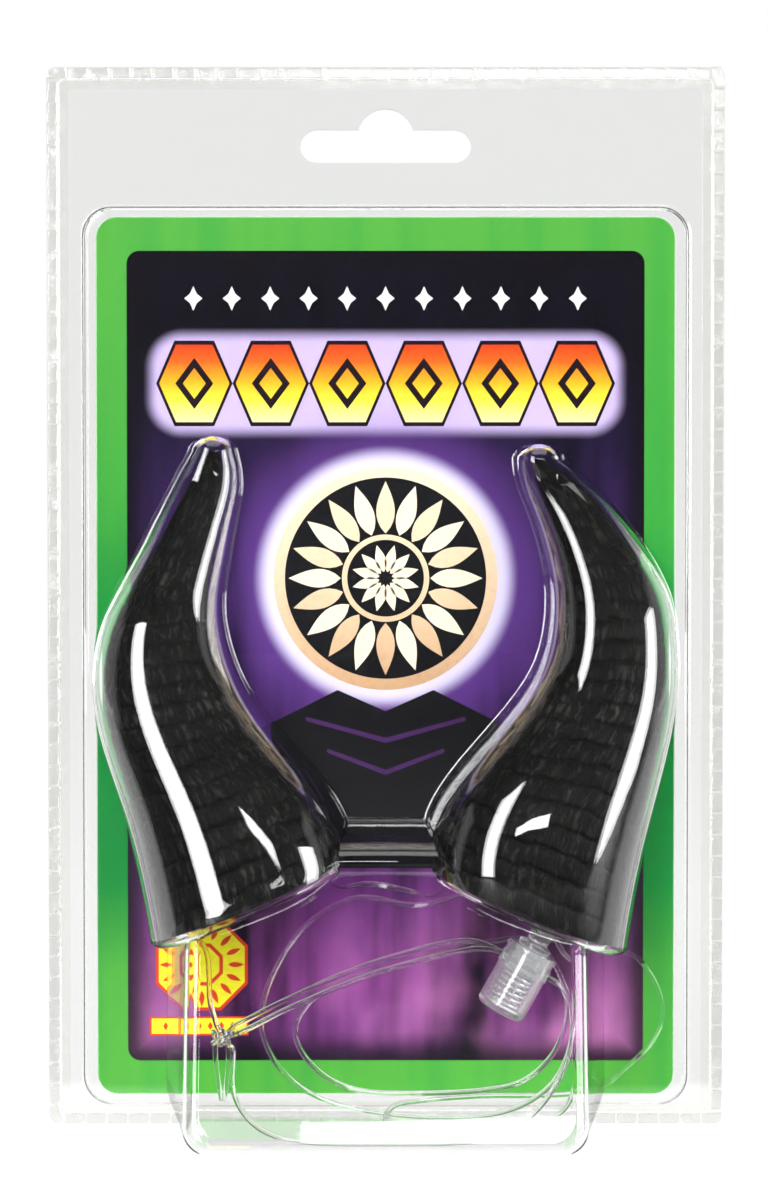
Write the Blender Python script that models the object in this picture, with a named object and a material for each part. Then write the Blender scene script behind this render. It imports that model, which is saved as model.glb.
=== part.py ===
"""Devil horns on an elastic cord, in a clear stand-up blister pack with a printed card.

Metres, +Z up. The pack stands on its foot on the plane z = 0 and its front faces -Y.
Depths are measured forwards, towards -Y, from the back face of the pack's back sheet.
"""

import math

import bmesh
import bpy
import numpy as np
from mathutils import Matrix, Vector

MM = 0.001

# Pack
PACK_WIDTH = 127 * MM
PACK_DEPTH = 34 * MM
PACK_CORNER = 2 * MM
SHEET = 0.5 * MM
GAP = 0.3 * MM

# Card and the raised pocket round it
CARD_WIDTH = 108.6 * MM
CARD_HEIGHT = 165 * MM
CARD_THICKNESS = 0.5 * MM
CARD_CORNER = 4 * MM
CARD_LEVEL = 5.7 * MM
CARD_MIDDLE = CARD_HEIGHT / 2 + CARD_LEVEL
HEADER_HEIGHT = 27.9 * MM
PACK_HEIGHT = CARD_LEVEL + CARD_HEIGHT + HEADER_HEIGHT
POCKET_MARGIN_SIDE = 2 * MM
POCKET_MARGIN_END = 1.3 * MM
POCKET_CORNER = 5.5 * MM
POCKET_RISE = 2.15 * MM
POCKET_DRAFT = 0.5 * MM

# Hang hole: a slot with a hump over its middle
SLOT_WIDTH = 32 * MM
SLOT_HEIGHT = 6.2 * MM
SLOT_DROP = 14.8 * MM
SLOT_LEVEL = PACK_HEIGHT - SLOT_DROP
HUMP_RADIUS = 5.3 * MM
HUMP_RISE = 1.7 * MM

# Horns
HORN_HEIGHT = 83.25 * MM
HORN_REACH = 41.7 * MM
HORN_BASE_WIDTH = 37.4 * MM
HORN_FLATNESS = 0.281
HORN_WALL = 1.5 * MM
HORN_LEVEL_LEFT = 43.34 * MM
HORN_LEVEL_RIGHT = 41.86 * MM
HORN_SIDES = 14
HOLLOW_END = 0.86
HOLLOW_SIDES = 12
HOLLOW_STATIONS = 9
RING_COUNT = 21
RING_RUN = 0.9
RING_SPREAD = 0.13
RING_DEPTH = 0.4 * MM
RING_CREST = 0.55
SMOOTH_TIP_SHARES = (0.93, 0.965, 0.985, 1.0)
CORD_HOLE_RADIUS = 1.15 * MM
CORD_HOLE_UP = 3 * MM
CORD_HOLE_TURN_OUTER = math.radians(54)
CORD_HOLE_TURN_INNER = math.radians(43.3)
CORD_HOLE_SIDES = 10

# Bubbles over the horns, the bridge between them and the foot below
ROOM_AT_BASE = 2.2 * MM
ROOM_AT_TIP = 3.2 * MM
ROOM_IN_FRONT = 0.8 * MM
BUBBLE_SHARES = (0, 0.06, 0.13, 0.21, 0.29, 0.37, 0.45, 0.53, 0.61, 0.69, 0.77, 0.85, 0.93, 1)
BUBBLE_SQUARENESS = 0.65
BUBBLE_STEPS = 12
BUBBLE_TIP_SHARE = 0.95
DOME_REACH = 3 * MM
DOME_TURNS = (35, 62, 80)
DOME_FLATNESS = 0.45
BRIDGE_SQUARENESS = 0.8
BRIDGE_STEPS = 8
BRIDGE_HALF_WIDTH = 15 * MM
BRIDGE_LOW = 45 * MM
BRIDGE_HIGH = 57.5 * MM
BRIDGE_DEPTH = 23 * MM
FOOT_ROOT_HALF = 41.5 * MM
FOOT_FRONT_HALF = 36.6 * MM
FOOT_ROOT_LEVEL = 3 * MM
FOOT_SIDE_TOP = 38 * MM
FOOT_SIDE_STEPS = 6
FOOT_TOP = 53 * MM
FOOT_TOP_HALF = 10 * MM
FOOT_TOP_DEPTH = 20 * MM
FOOT_CORNER = 4.5 * MM
FOOT_EDGE = 2.5 * MM

# Elastic cords, their knot and their spring lock
CORD_DIAMETER = 1 * MM
CORD_POINTS = 80
CORD_LONG_STEP = 9 * MM
CORD_WIDE_TURN = 0.6
KNOT_PLACE = (-29.7 * MM, 20 * MM, 19.3 * MM)
KNOT_SIZE = (4.6 * MM, 3 * MM, 3 * MM)
TAIL_LENGTH = 11.5 * MM
KNOT_TAILS = (
    # name, start and end beside the knot's middle: across, depth
    ("a", (-1.2 * MM, 0.2 * MM), (-0.3 * MM, 0.9 * MM)),
    ("b", (0.4 * MM, -0.5 * MM), (0.1 * MM, -0.6 * MM)),
)
LOCK_PLACE = (25.45 * MM, 18 * MM, 32.3 * MM)
LOCK_TILT = math.radians(29)
BARREL_RADIUS = 4.7 * MM
BARREL_LENGTH = 13 * MM
BARREL_WALL = 1.2 * MM
BARREL_LIP = 0.3 * MM
BARREL_LIP_HEIGHT = 0.9 * MM
LOCK_EDGE = 0.2 * MM
LOCK_HOLE_UP = 9.6 * MM
LOCK_HOLE_CORNER = 0.4 * MM
STRAND_SPACING = 1.3 * MM
PLUNGER_TRAVEL = 3 * MM
PLUNGER_FOOT = 0.9 * MM
PLUNGER_LENGTH = 10.3 * MM
PLUNGER_NECK_RADIUS = 2 * MM
PLUNGER_HEAD_RADIUS = 3.75 * MM
PLUNGER_HEAD_HEIGHT = 2.7 * MM
PLUNGER_RIM_HEIGHT = 0.8 * MM
PLUNGER_RIM_WIDTH = 1.2 * MM
SPRING_TURNS = 6
SPRING_STEPS = 10
SPRING_WIRE = 0.45 * MM

# Places that follow from the sizes above, as depths in front of the back sheet's back face
CARD_BACK = SHEET + GAP
CARD_FACE = CARD_BACK + CARD_THICKNESS
FLANGE_BACK = SHEET + GAP
FLANGE_FACE = FLANGE_BACK + SHEET
POCKET_FACE = FLANGE_FACE + POCKET_RISE
HORN_BACK = CARD_FACE + GAP
FORM_ROOT = FLANGE_BACK + SHEET / 2
HOLLOW_ROOT = FLANGE_BACK - SHEET
BORE_RADIUS = BARREL_RADIUS - BARREL_WALL
STRAND_ROOM = CORD_DIAMETER / 2 + GAP
LOCK_HOLE_LOW = LOCK_HOLE_UP - STRAND_ROOM
LOCK_HOLE_HIGH = LOCK_HOLE_UP + STRAND_ROOM
PLUNGER_BOTTOM = LOCK_HOLE_LOW - PLUNGER_FOOT
PLUNGER_TOP = PLUNGER_BOTTOM + PLUNGER_LENGTH
PLUNGER_SLOT_TOP = LOCK_HOLE_HIGH + PLUNGER_TRAVEL

# Sections of a horn from its base to its tip. across: share of HORN_REACH from the pack's
# middle. up: share of HORN_HEIGHT above the base's middle. width: share of HORN_BASE_WIDTH.
# tilt: the section's slope in degrees, rising towards the pack's middle.
LEFT_SECTIONS = (
    # across, up, width, tilt
    (0.587, 0.000, 1.000, 23.6),
    (0.638, 0.103, 0.957, 21),
    (0.738, 0.226, 0.843, 17),
    (0.859, 0.334, 0.735, 12),
    (0.958, 0.442, 0.652, 6),
    (0.999, 0.533, 0.572, 2),
    (0.995, 0.637, 0.452, 0),
    (0.954, 0.707, 0.372, 0),
    (0.903, 0.774, 0.308, 0),
    (0.852, 0.852, 0.246, 0),
    (0.809, 0.909, 0.204, 0),
    (0.780, 0.960, 0.159, 0),
    (0.771, 1.000, 0.057, 0),
)
RIGHT_SECTIONS = (
    # across, up, width, tilt
    (0.617, 0.000, 1.000, 23),
    (0.651, 0.115, 0.987, 20),
    (0.738, 0.233, 0.893, 17),
    (0.842, 0.339, 0.777, 13),
    (0.927, 0.428, 0.678, 9),
    (0.992, 0.518, 0.588, 4),
    (1.011, 0.603, 0.516, 0),
    (1.006, 0.703, 0.462, 0),
    (0.944, 0.788, 0.378, 0),
    (0.877, 0.861, 0.312, 0),
    (0.801, 0.926, 0.256, 0),
    (0.734, 0.970, 0.189, 0),
    (0.686, 1.000, 0.064, 0),
)

# Routes of the cords in millimetres: across, depth, up. Chosen by hand along the strands.
HEAD_CORD_ROUTE = (
    (-30.9, 19.3, 21.4), (-32.2, 17.5, 25.5), (-32.5, 15, 29.9), (-33.2, 10, 33.4),
    (-34.8, 5.6, 35.6), (-36.4, 3.2, 37.8), (-37.1, 2.6, 40.0), (-36.2, 3.7, 41.5),
    (-34.8, 5.5, 42.1), (-33.4, 7.5, 42.7), (-31.6, 9.4, 43.8), (-28.6, 10.6, 45.4),
    (-22.8, 10.8, 47.9), (-18.0, 10.4, 49.8), (-15.5, 8.9, 50.5), (-14.2, 7.1, 51.1),
    (-13.0, 5.5, 51.6), (-11.7, 3.8, 52.1), (-10.7, 2.7, 51.0), (-10.3, 3.0, 48.6),
    (-9.8, 5.0, 46.2), (-7.3, 8.5, 45.8), (-3.0, 12, 46.7), (3.0, 13, 45.8),
    (7.1, 9, 44.3), (9.8, 5.2, 44.3), (11.3, 3.0, 46.2), (11.9, 2.6, 48.8),
    (12.8, 3.7, 50.4), (14.2, 5.5, 50.0), (15.6, 7.4, 49.4), (17.2, 9.2, 48.6),
    (19.8, 10.4, 47.5), (24.1, 10.8, 45.6), (29.6, 10.5, 43.4), (32.8, 9.4, 42.2),
    (34.7, 7.4, 41.4), (36.1, 5.5, 40.7), (37.5, 3.7, 40.1), (38.2, 2.6, 38.6),
    (37.6, 3.3, 36.3), (36.2, 6, 33.9), (35.4, 12, 31.5), (35.0, 20, 28.6),
    (34.8, 24, 25.5), (33.1, 27.3, 17.4), (30.9, 28.6, 12.5), (27.2, 29.8, 7.7),
    (20.8, 30.9, 3.2), (13.1, 31.0, 1.9), (2.6, 31.0, 1.6), (-13.8, 30.9, 1.9),
    (-18.7, 29.8, 2.6), (-23.4, 27.5, 4.4), (-26.4, 25, 7.3), (-28.0, 22.8, 11),
    (-27.9, 21.6, 14.5), (-27.9, 21.0, 17.3),
)
CHIN_CORD_ROUTE = (
    (-27.9, 19.2, 21.2), (-24.8, 19.2, 22.8), (-19.4, 18.8, 25.5), (-14.1, 18.3, 27.9),
    (-8.7, 17.9, 30.3), (-3.2, 17.6, 32.4), (2.6, 17.4, 34.2), (9.9, 17.35, 36.1),
    (16.0, 17.35, 36.7), (20.2, 17.35, 35.2), (22.85, 17.35, 33.75), (25.45, 17.35, 32.3),
    (28.05, 17.35, 30.86), (29.9, 17.35, 29.83), (31.4, 17.35, 29.0), (33.2, 17.2, 26.6),
    (33.0, 16.6, 21.1), (31.2, 16, 16.3), (27.9, 15, 12.3), (24.3, 14.5, 10.0),
    (19.2, 14.5, 8.9), (8.2, 14, 8.1), (-4.0, 12, 8.1), (-8.8, 11, 9.4),
    (-12.8, 11, 12.0), (-16.1, 11, 16.2), (-16.7, 11, 19.9), (-14.3, 11, 24.3),
    (-8.8, 11, 27.6), (-3.2, 11, 29.7), (2.7, 10.5, 31.1), (10.1, 10, 33.4),
    (19.1, 9.5, 35.4), (26.0, 9, 36.0), (30.4, 9, 32.9), (34.1, 10, 24.9),
    (35.8, 12, 16.4), (35.1, 15, 10.4), (33.4, 18.5, 6.8), (29.4, 23, 4.6),
    (21.6, 27.4, 3.2), (13.3, 28.8, 2.7), (7.8, 28.8, 2.7), (3.5, 27.4, 3.0),
    (0.5, 24.8, 3.8), (0.1, 21, 5.3), (1.9, 17, 6.4), (6.9, 12, 6.4),
    (17.3, 8, 6.5), (28.8, 5, 6.1), (35.8, 3, 6.2), (40.3, 2.13, 7.1),
    (45.9, 2.13, 11.4), (49.6, 2.13, 15.2), (51.9, 2.13, 19.6), (51.9, 2.13, 23.8),
    (50.0, 2.13, 28.4), (47.0, 2.13, 31.8), (43.3, 2.13, 33.0), (40.9, 2.13, 32.7),
    (39.3, 2.14, 32.3), (37.7, 3.4, 31.7), (35.6, 6.8, 31.4), (33.4, 9.5, 33.0),
    (31.6, 10.8, 36.0), (29.6, 12.2, 39.6), (24.7, 13.2, 43.4), (18.3, 13.3, 45.4),
    (14.6, 12.4, 45.0), (11.3, 10.6, 43.7), (6.6, 9, 42.4), (3.0, 8.5, 42.5),
    (-1.0, 8.2, 43.4), (-5.5, 8, 43.6), (-10.6, 8, 41.5), (-16.2, 8, 37.0),
    (-20.1, 8, 31.1), (-22.7, 8, 24.6), (-23.2, 8, 19.8), (-21.6, 8, 14.6),
    (-18.1, 8, 10.0), (-13.6, 8, 6.8), (-6.6, 10, 4.8), (8.2, 15, 3.9),
    (22.6, 21, 6.2), (30.1, 24, 11.4), (33.3, 23.5, 17.3), (34.1, 22, 22.9),
    (33.3, 19.8, 27.0), (31.4, 18.65, 29.0), (29.9, 18.65, 29.83), (28.05, 18.65, 30.86),
    (25.45, 18.65, 32.3),
    (22.85, 18.65, 33.75), (20.3, 18.65, 35.1), (16.4, 19.0, 35.4), (12.4, 19.4, 34.8),
    (8.1, 19.8, 33.9), (2.6, 20, 32.5), (-2.5, 20.5, 31.0), (-7.9, 21, 29.0),
    (-13.3, 21.4, 26.8), (-18.8, 21.6, 24.4), (-24.2, 21.5, 21.6), (-26.9, 21.1, 20.3),
)


def to_world(across, depth, up):
    """The world point at a place across the pack, a depth in front of its back and a height."""
    return Vector((across, PACK_DEPTH / 2 - depth, up))


def make_material(name, color, roughness, metallic=0.0, transmission=0.0):
    material = bpy.data.materials.new(name)
    material.use_nodes = True
    shader = material.node_tree.nodes["Principled BSDF"]
    shader.inputs["Base Color"].default_value = (*color, 1)
    shader.inputs["Roughness"].default_value = roughness
    shader.inputs["Metallic"].default_value = metallic
    shader.inputs["Transmission Weight"].default_value = transmission
    material.diffuse_color = (*color, 1)
    return material


def add_object(name, data, material):
    thing = bpy.data.objects.new(name, data)
    bpy.context.scene.collection.objects.link(thing)
    data.materials.append(material)
    return thing


def loft(name, loops, material, sharp_angle=35):
    """A closed solid through loops of as many points each, with both ends capped."""
    mesh = bpy.data.meshes.new(name)
    solid = bmesh.new()
    rings = [[solid.verts.new(point) for point in loop] for loop in loops]
    for low, high in zip(rings, rings[1:]):
        for i, corner in enumerate(low):
            after = (i + 1) % len(low)
            solid.faces.new((corner, low[after], high[after], high[i]))
    solid.faces.new(rings[0])
    solid.faces.new(rings[-1])
    bmesh.ops.recalc_face_normals(solid, faces=solid.faces)
    solid.to_mesh(mesh)
    solid.free()
    mesh.shade_smooth()
    mesh.set_sharp_from_angle(angle=math.radians(sharp_angle))
    return add_object(name, mesh, material)


def turned(name, profile, sides, material):
    """A solid turned about its own Z axis from (radius, height) pairs that start and end on it."""
    angles = [math.tau * i / sides for i in range(sides)]
    mesh = bpy.data.meshes.new(name)
    solid = bmesh.new()
    start = solid.verts.new((0, 0, profile[0][1]))
    end = solid.verts.new((0, 0, profile[-1][1]))
    rings = [
        [solid.verts.new((r * math.cos(a), r * math.sin(a), z)) for a in angles]
        for r, z in profile[1:-1]
    ]
    for low, high in zip(rings, rings[1:]):
        for i in range(sides):
            after = (i + 1) % sides
            solid.faces.new((low[i], low[after], high[after], high[i]))
    for i in range(sides):
        after = (i + 1) % sides
        solid.faces.new((start, rings[0][after], rings[0][i]))
        solid.faces.new((end, rings[-1][i], rings[-1][after]))
    bmesh.ops.recalc_face_normals(solid, faces=solid.faces)
    solid.to_mesh(mesh)
    solid.free()
    mesh.shade_smooth()
    mesh.set_sharp_from_angle(angle=math.radians(35))
    return add_object(name, mesh, material)


def combine(target, tool, operation):
    """Joins, or cuts, the target with the tool, which is then only a guide."""
    modifier = target.modifiers.new(tool.name, "BOOLEAN")
    modifier.operation = operation
    modifier.object = tool
    tool.hide_render = True
    tool.display_type = "WIRE"


def arc(center_x, center_z, radius, start, end, steps):
    """Points of an arc between two angles in degrees, both ends included."""
    angles = [math.radians(start + (end - start) * i / steps) for i in range(steps + 1)]
    return [(center_x + radius * math.cos(a), center_z + radius * math.sin(a)) for a in angles]


def rounded_rectangle(half_width, low, high, corner, steps=4):
    x = half_width - corner
    return (
        arc(x, low + corner, corner, -90, 0, steps)
        + arc(x, high - corner, corner, 0, 90, steps)
        + arc(-x, high - corner, corner, 90, 180, steps)
        + arc(-x, low + corner, corner, 180, 270, steps)
    )


def plate(name, outline, back, front, material):
    """A flat plate of an (across, up) outline between two depths."""
    loops = [[to_world(x, depth, z) for x, z in outline] for depth in (back, front)]
    return loft(name, loops, material)


def smooth_curve(points, steps):
    """Points along a centripetal Catmull-Rom curve through the given ones, steps to a span."""
    known = np.array(points, float)
    known = np.vstack([2 * known[0] - known[1], known, 2 * known[-1] - known[-2]])
    spans = np.sqrt(np.linalg.norm(np.diff(known[:, :3], axis=0), axis=1))
    slopes = np.diff(known, axis=0) / spans[:, None]
    share = np.linspace(0, 1, steps, endpoint=False)[:, None]
    made = []
    for i in range(1, len(known) - 2):
        before, span, after = spans[i - 1], spans[i], spans[i + 1]
        leave = (slopes[i - 1] * span + slopes[i] * before) / (before + span) * span
        arrive = (slopes[i] * after + slopes[i + 1] * span) / (span + after) * span
        rise = share**2 * (3 - 2 * share)
        made.append(
            known[i] * (1 - rise)
            + known[i + 1] * rise
            + leave * share * (1 - share) ** 2
            - arrive * share**2 * (1 - share)
        )
    made.append(known[-2:-1])
    return np.vstack(made)


def horn_sections(rows, base_level, side):
    """A function that gives the horn's section at any share of its run from base to tip."""
    scale = np.array([HORN_REACH, HORN_HEIGHT, HORN_BASE_WIDTH / 2, 1])
    sections = np.array(rows) * scale + np.array([0, base_level, 0, 0])
    fine = smooth_curve(sections, 12)
    steps = np.linalg.norm(np.diff(fine[:, :2], axis=0), axis=1)
    run = np.concatenate([[0], np.cumsum(steps)])

    def section_at(share):
        values = [np.interp(share * run[-1], run, column) for column in fine.T]
        return HornSection(side, *values)

    return section_at


class HornSection:
    """A slanted section: its middle, its half width, its half depth and its two directions."""

    def __init__(self, side, across, up, half_width, tilt):
        slope = math.radians(tilt)
        self.middle = Vector((side * across, 0, up))
        self.inward = Vector((-side * math.cos(slope), 0, math.sin(slope)))
        self.upward = Vector((side * math.sin(slope), 0, math.cos(slope)))
        self.half_width = half_width
        self.half_depth = half_depth_of(half_width)

    def point(self, sideways, depth, lift=0.0):
        place = self.middle + self.inward * sideways + self.upward * lift
        return to_world(place.x, depth, place.z)

    def ellipse(self, sides, inset=0.0, lift=0.0):
        """Points round the section, which lies with its back on the card's side."""
        axis_depth = HORN_BACK + self.half_depth
        wide = self.half_width - inset
        deep = self.half_depth - inset
        angles = [math.tau * i / sides for i in range(sides)]
        return [
            self.point(wide * math.cos(a), axis_depth + deep * math.sin(a), lift)
            for a in angles
        ]


def half_depth_of(half_width):
    """A horn is round at its tip and a little flattened at its base."""
    return half_width * (1 - HORN_FLATNESS * half_width / (HORN_BASE_WIDTH / 2))


def ring_stations():
    """Shares of the run with the depth of the surface there: a groove and a crest to a ring."""
    stations = []
    for i in range(RING_COUNT):
        for part, depth in ((0.0, 1.0), (RING_CREST, 0.0)):
            place = (i + part) / RING_COUNT
            stations.append((RING_RUN * place * (1 + RING_SPREAD * (1 - place)), depth))
    return stations


def make_horn(name, rows, base_level, side, material):
    """One hollow horn with its rings and the two holes for the cord near its base."""
    section_at = horn_sections(rows, base_level, side)
    base = section_at(0)
    loops = []
    for share, depth in ring_stations():
        section = section_at(share)
        inset = RING_DEPTH * depth * math.sqrt(section.half_width / base.half_width)
        loops.append(section.ellipse(HORN_SIDES, inset if share > 0 else 0.0))
    for share in SMOOTH_TIP_SHARES:
        loops.append(section_at(share).ellipse(HORN_SIDES))
    horn = loft(name, loops, material, sharp_angle=60)
    inner = [base.ellipse(HOLLOW_SIDES, HORN_WALL, -HORN_WALL)]
    for share in np.linspace(0, HOLLOW_END, HOLLOW_STATIONS):
        inner.append(section_at(share).ellipse(HOLLOW_SIDES, HORN_WALL + RING_DEPTH / 2))
    hollow = loft(name + "_hollow", inner, material)
    combine(horn, hollow, "DIFFERENCE")
    for label, sideways, turn in (
        ("outer", -1, CORD_HOLE_TURN_OUTER),
        ("inner", 1, CORD_HOLE_TURN_INNER),
    ):
        hole = cord_hole(f"{name}_hole_{label}", base, sideways, turn, material)
        combine(horn, hole, "DIFFERENCE")
    return horn


def cord_hole(name, section, sideways, turn, material):
    """A round cutter through the back of a horn's wall, at a turn from its side."""
    wide = section.half_width * math.cos(turn)
    deep = section.half_depth * math.sin(turn)
    depth = HORN_BACK + section.half_depth - deep
    place = section.point(sideways * wide, depth, CORD_HOLE_UP)
    along = (
        section.inward * (sideways * wide / section.half_width**2)
        + Vector((0, 1, 0)) * (deep / section.half_depth**2)
    ).normalized()
    frame = along.to_track_quat("Z", "Y").to_matrix().to_4x4()
    frame.translation = place
    reach = 3 * HORN_WALL
    angles = [math.tau * i / CORD_HOLE_SIDES for i in range(CORD_HOLE_SIDES)]
    circle = [(CORD_HOLE_RADIUS * math.cos(a), CORD_HOLE_RADIUS * math.sin(a)) for a in angles]
    loops = [[frame @ Vector((x, y, z)) for x, y in circle] for z in (-reach, reach / 2)]
    return loft(name, loops, material)


def half_round(steps, squareness):
    """Pairs (sideways, forwards) from 1 to -1 over a half round with steep sides."""
    pairs = []
    for i in range(steps + 1):
        angle = math.pi * i / steps
        wide = math.copysign(abs(math.cos(angle)) ** squareness, math.cos(angle))
        pairs.append((wide, abs(math.sin(angle)) ** squareness))
    return pairs


def bubble(name, rows, base_level, side, skin, root, material):
    """The form over one horn, a skin's thickness inside the blister's outer face."""
    section_at = horn_sections(rows, base_level, side)
    tip_depth = section_at(BUBBLE_TIP_SHARE).half_depth * 2
    floor_drop = GAP + SHEET - skin
    loops = []
    for share in BUBBLE_SHARES:
        section = section_at(share)
        room = ROOM_AT_BASE + (ROOM_AT_TIP - ROOM_AT_BASE) * share**2
        half = section.half_width + room - skin
        deep = section.half_depth * 2 if share < BUBBLE_TIP_SHARE else tip_depth
        lift = -floor_drop if share == 0 else 0.0
        loops.append(bubble_section(section, half, deep, skin, root, lift))
    tip = section_at(1)
    for turn in DOME_TURNS:
        shrink = math.cos(math.radians(turn))
        lift = (DOME_REACH - skin) * math.sin(math.radians(turn))
        half = (tip.half_width + ROOM_AT_TIP - skin) * shrink
        deep = tip_depth * (DOME_FLATNESS + (1 - DOME_FLATNESS) * shrink)
        loops.append(bubble_section(tip, half, deep, skin, root, lift))
    return loft(name, loops, material)


def bubble_section(section, half_width, deep, skin, root, lift):
    """The form's outline over one section of a horn, from the pack's face and back to it."""
    top = HORN_BACK + deep + ROOM_IN_FRONT + SHEET - skin
    return [
        section.point(half_width * wide, root + (top - root) * high, lift)
        for wide, high in half_round(BUBBLE_STEPS, BUBBLE_SQUARENESS)
    ]


def pocket(name, skin, root, material):
    half_width = CARD_WIDTH / 2 + POCKET_MARGIN_SIDE + SHEET - skin
    half_height = CARD_HEIGHT / 2 + POCKET_MARGIN_END + SHEET - skin
    loops = []
    for depth, draft in ((root, 0), (POCKET_FACE - skin, POCKET_DRAFT)):
        outline = rounded_rectangle(
            half_width - draft,
            CARD_MIDDLE - half_height + draft,
            CARD_MIDDLE + half_height - draft,
            POCKET_CORNER - skin,
        )
        loops.append([to_world(x, depth, z) for x, z in outline])
    return loft(name, loops, material)


def foot_outline(half_width, low, skin):
    """The foot's outline: round lower corners, and a top that follows the horns' bases."""
    corner = FOOT_CORNER
    side = half_width - skin
    low = low + skin
    lower = arc(side - corner, low + corner, corner, -90, 0, 4)
    levels = np.linspace(low + corner, FOOT_SIDE_TOP - skin, FOOT_SIDE_STEPS + 1)
    upper = [(side, level) for level in levels[1:]]
    upper.append((FOOT_TOP_HALF * side / FOOT_ROOT_HALF, FOOT_TOP - skin))
    right = lower + upper
    return right + [(-x, z) for x, z in reversed(right)]


def foot(name, skin, root, material):
    """The stand-up foot: deepest at its bottom edge, with a rounded edge round its front."""
    lean = (PACK_DEPTH - FOOT_TOP_DEPTH) / (FOOT_TOP - FOOT_EDGE)
    shares = [(0.0, 0.0, 0.0)]
    for turn in (0, 30, 60, 90):
        angle = math.radians(turn)
        shares.append((1.0, FOOT_EDGE * (1 - math.sin(angle)), FOOT_EDGE * (1 - math.cos(angle))))
    loops = []
    for draft, short, inset in shares:
        half_width = FOOT_ROOT_HALF + (FOOT_FRONT_HALF - FOOT_ROOT_HALF) * draft - inset
        low = FOOT_ROOT_LEVEL * (1 - draft) + inset
        loop = []
        for x, z in foot_outline(half_width, low, skin):
            front = PACK_DEPTH - lean * (z - FOOT_EDGE) - skin - short
            loop.append(to_world(x, front if draft else root, z))
        loops.append(loop)
    return loft(name, loops, material)


def bridge(name, skin, root, material):
    """The low form that joins the two bubbles where the horns' bases come nearest."""
    middle = (BRIDGE_LOW + BRIDGE_HIGH) / 2
    half_height = (BRIDGE_HIGH - BRIDGE_LOW) / 2 - skin
    depth = BRIDGE_DEPTH - skin
    outline = half_round(BRIDGE_STEPS, BRIDGE_SQUARENESS)
    loops = []
    for x in (-BRIDGE_HALF_WIDTH, 0, BRIDGE_HALF_WIDTH):
        loops.append([
            to_world(x, root + (depth - root) * high, middle + half_height * wide)
            for wide, high in outline
        ])
    return loft(name, loops, material)


def hang_hole(name, material):
    """The cutter of the hang hole: a slot with round ends, and a round hump over its middle."""
    end = SLOT_HEIGHT / 2
    x = (SLOT_WIDTH - SLOT_HEIGHT) / 2
    hump_level = SLOT_LEVEL + HUMP_RISE
    start = math.degrees(math.asin((end - HUMP_RISE) / HUMP_RADIUS))
    outline = (
        arc(x, SLOT_LEVEL, end, -90, 90, 8)
        + arc(0, hump_level, HUMP_RADIUS, start, 180 - start, 12)
        + arc(-x, SLOT_LEVEL, end, 90, 270, 8)
    )
    return plate(name, outline, -SHEET, FLANGE_FACE + SHEET, material)


def make_pack_front(material):
    """The blister: the flange and every raised form as one sheet of one thickness."""
    outline = rounded_rectangle(PACK_WIDTH / 2, 0, PACK_HEIGHT, PACK_CORNER)
    front = plate("pack_front", outline, FLANGE_BACK, FLANGE_FACE, material)
    horns = (
        ("left", LEFT_SECTIONS, HORN_LEVEL_LEFT, -1),
        ("right", RIGHT_SECTIONS, HORN_LEVEL_RIGHT, 1),
    )
    for word, skin, root, operation in (
        ("outer", 0.0, FORM_ROOT, "UNION"),
        ("inner", SHEET, HOLLOW_ROOT, "DIFFERENCE"),
    ):
        combine(front, pocket("pocket_" + word, skin, root, material), operation)
        combine(front, foot("foot_" + word, skin, root, material), operation)
        combine(front, bridge("bridge_" + word, skin, root, material), operation)
        for label, rows, level, side in horns:
            form = bubble(f"bubble_{label}_{word}", rows, level, side, skin, root, material)
            combine(front, form, operation)
    combine(front, hang_hole("hang_hole_front", material), "DIFFERENCE")
    return front


def make_pack_back(material):
    outline = rounded_rectangle(PACK_WIDTH / 2, 0, PACK_HEIGHT, PACK_CORNER)
    back = plate("pack_back", outline, 0, SHEET, material)
    combine(back, hang_hole("hang_hole_back", material), "DIFFERENCE")
    return back


def make_card(material):
    low = CARD_MIDDLE - CARD_HEIGHT / 2
    outline = rounded_rectangle(CARD_WIDTH / 2, low, low + CARD_HEIGHT, CARD_CORNER)
    return plate("card", outline, CARD_BACK, CARD_FACE, material)


def tube(name, points, diameter, resolution, material):
    """A cord or wire along the given points, with round section and closed ends."""
    data = bpy.data.curves.new(name, "CURVE")
    data.dimensions = "3D"
    data.bevel_depth = diameter / 2
    data.bevel_resolution = resolution
    data.use_fill_caps = True
    spline = data.splines.new("POLY")
    spline.points.add(len(points) - 1)
    for target, point in zip(spline.points, points):
        target.co = (*point, 1)
    return add_object(name, data, material)


def make_cord(name, route, material):
    """An elastic cord. Its points stand closer together where it bends."""
    fine = smooth_curve(np.array(route) * MM, 24)
    steps = np.diff(fine, axis=0)
    lengths = np.linalg.norm(steps, axis=1)
    ahead = steps / lengths[:, None]
    turns = np.arccos(np.clip((ahead[1:] * ahead[:-1]).sum(axis=1), -1, 1))
    measure = lengths / CORD_LONG_STEP + np.concatenate([[0], turns]) / CORD_WIDE_TURN
    run = np.concatenate([[0], np.cumsum(measure)])
    places = np.linspace(0, run[-1], CORD_POINTS)
    picked = np.array([np.interp(places, run, column) for column in fine.T]).T
    points = [to_world(*point) for point in picked]
    return tube(name, points, CORD_DIAMETER, 2, material)


def rod(name, points, diameter, sides, material):
    """A round rod along a few points, as a closed mesh."""
    loops = []
    for i, point in enumerate(points):
        ahead = (points[min(i + 1, len(points) - 1)] - points[max(i - 1, 0)]).normalized()
        across = ahead.cross(Vector((0, 1, 0.1))).normalized() * diameter / 2
        over = ahead.cross(across)
        angles = [math.tau * k / sides for k in range(sides)]
        loops.append([point + across * math.cos(a) + over * math.sin(a) for a in angles])
    return loft(name, loops, material)


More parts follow.
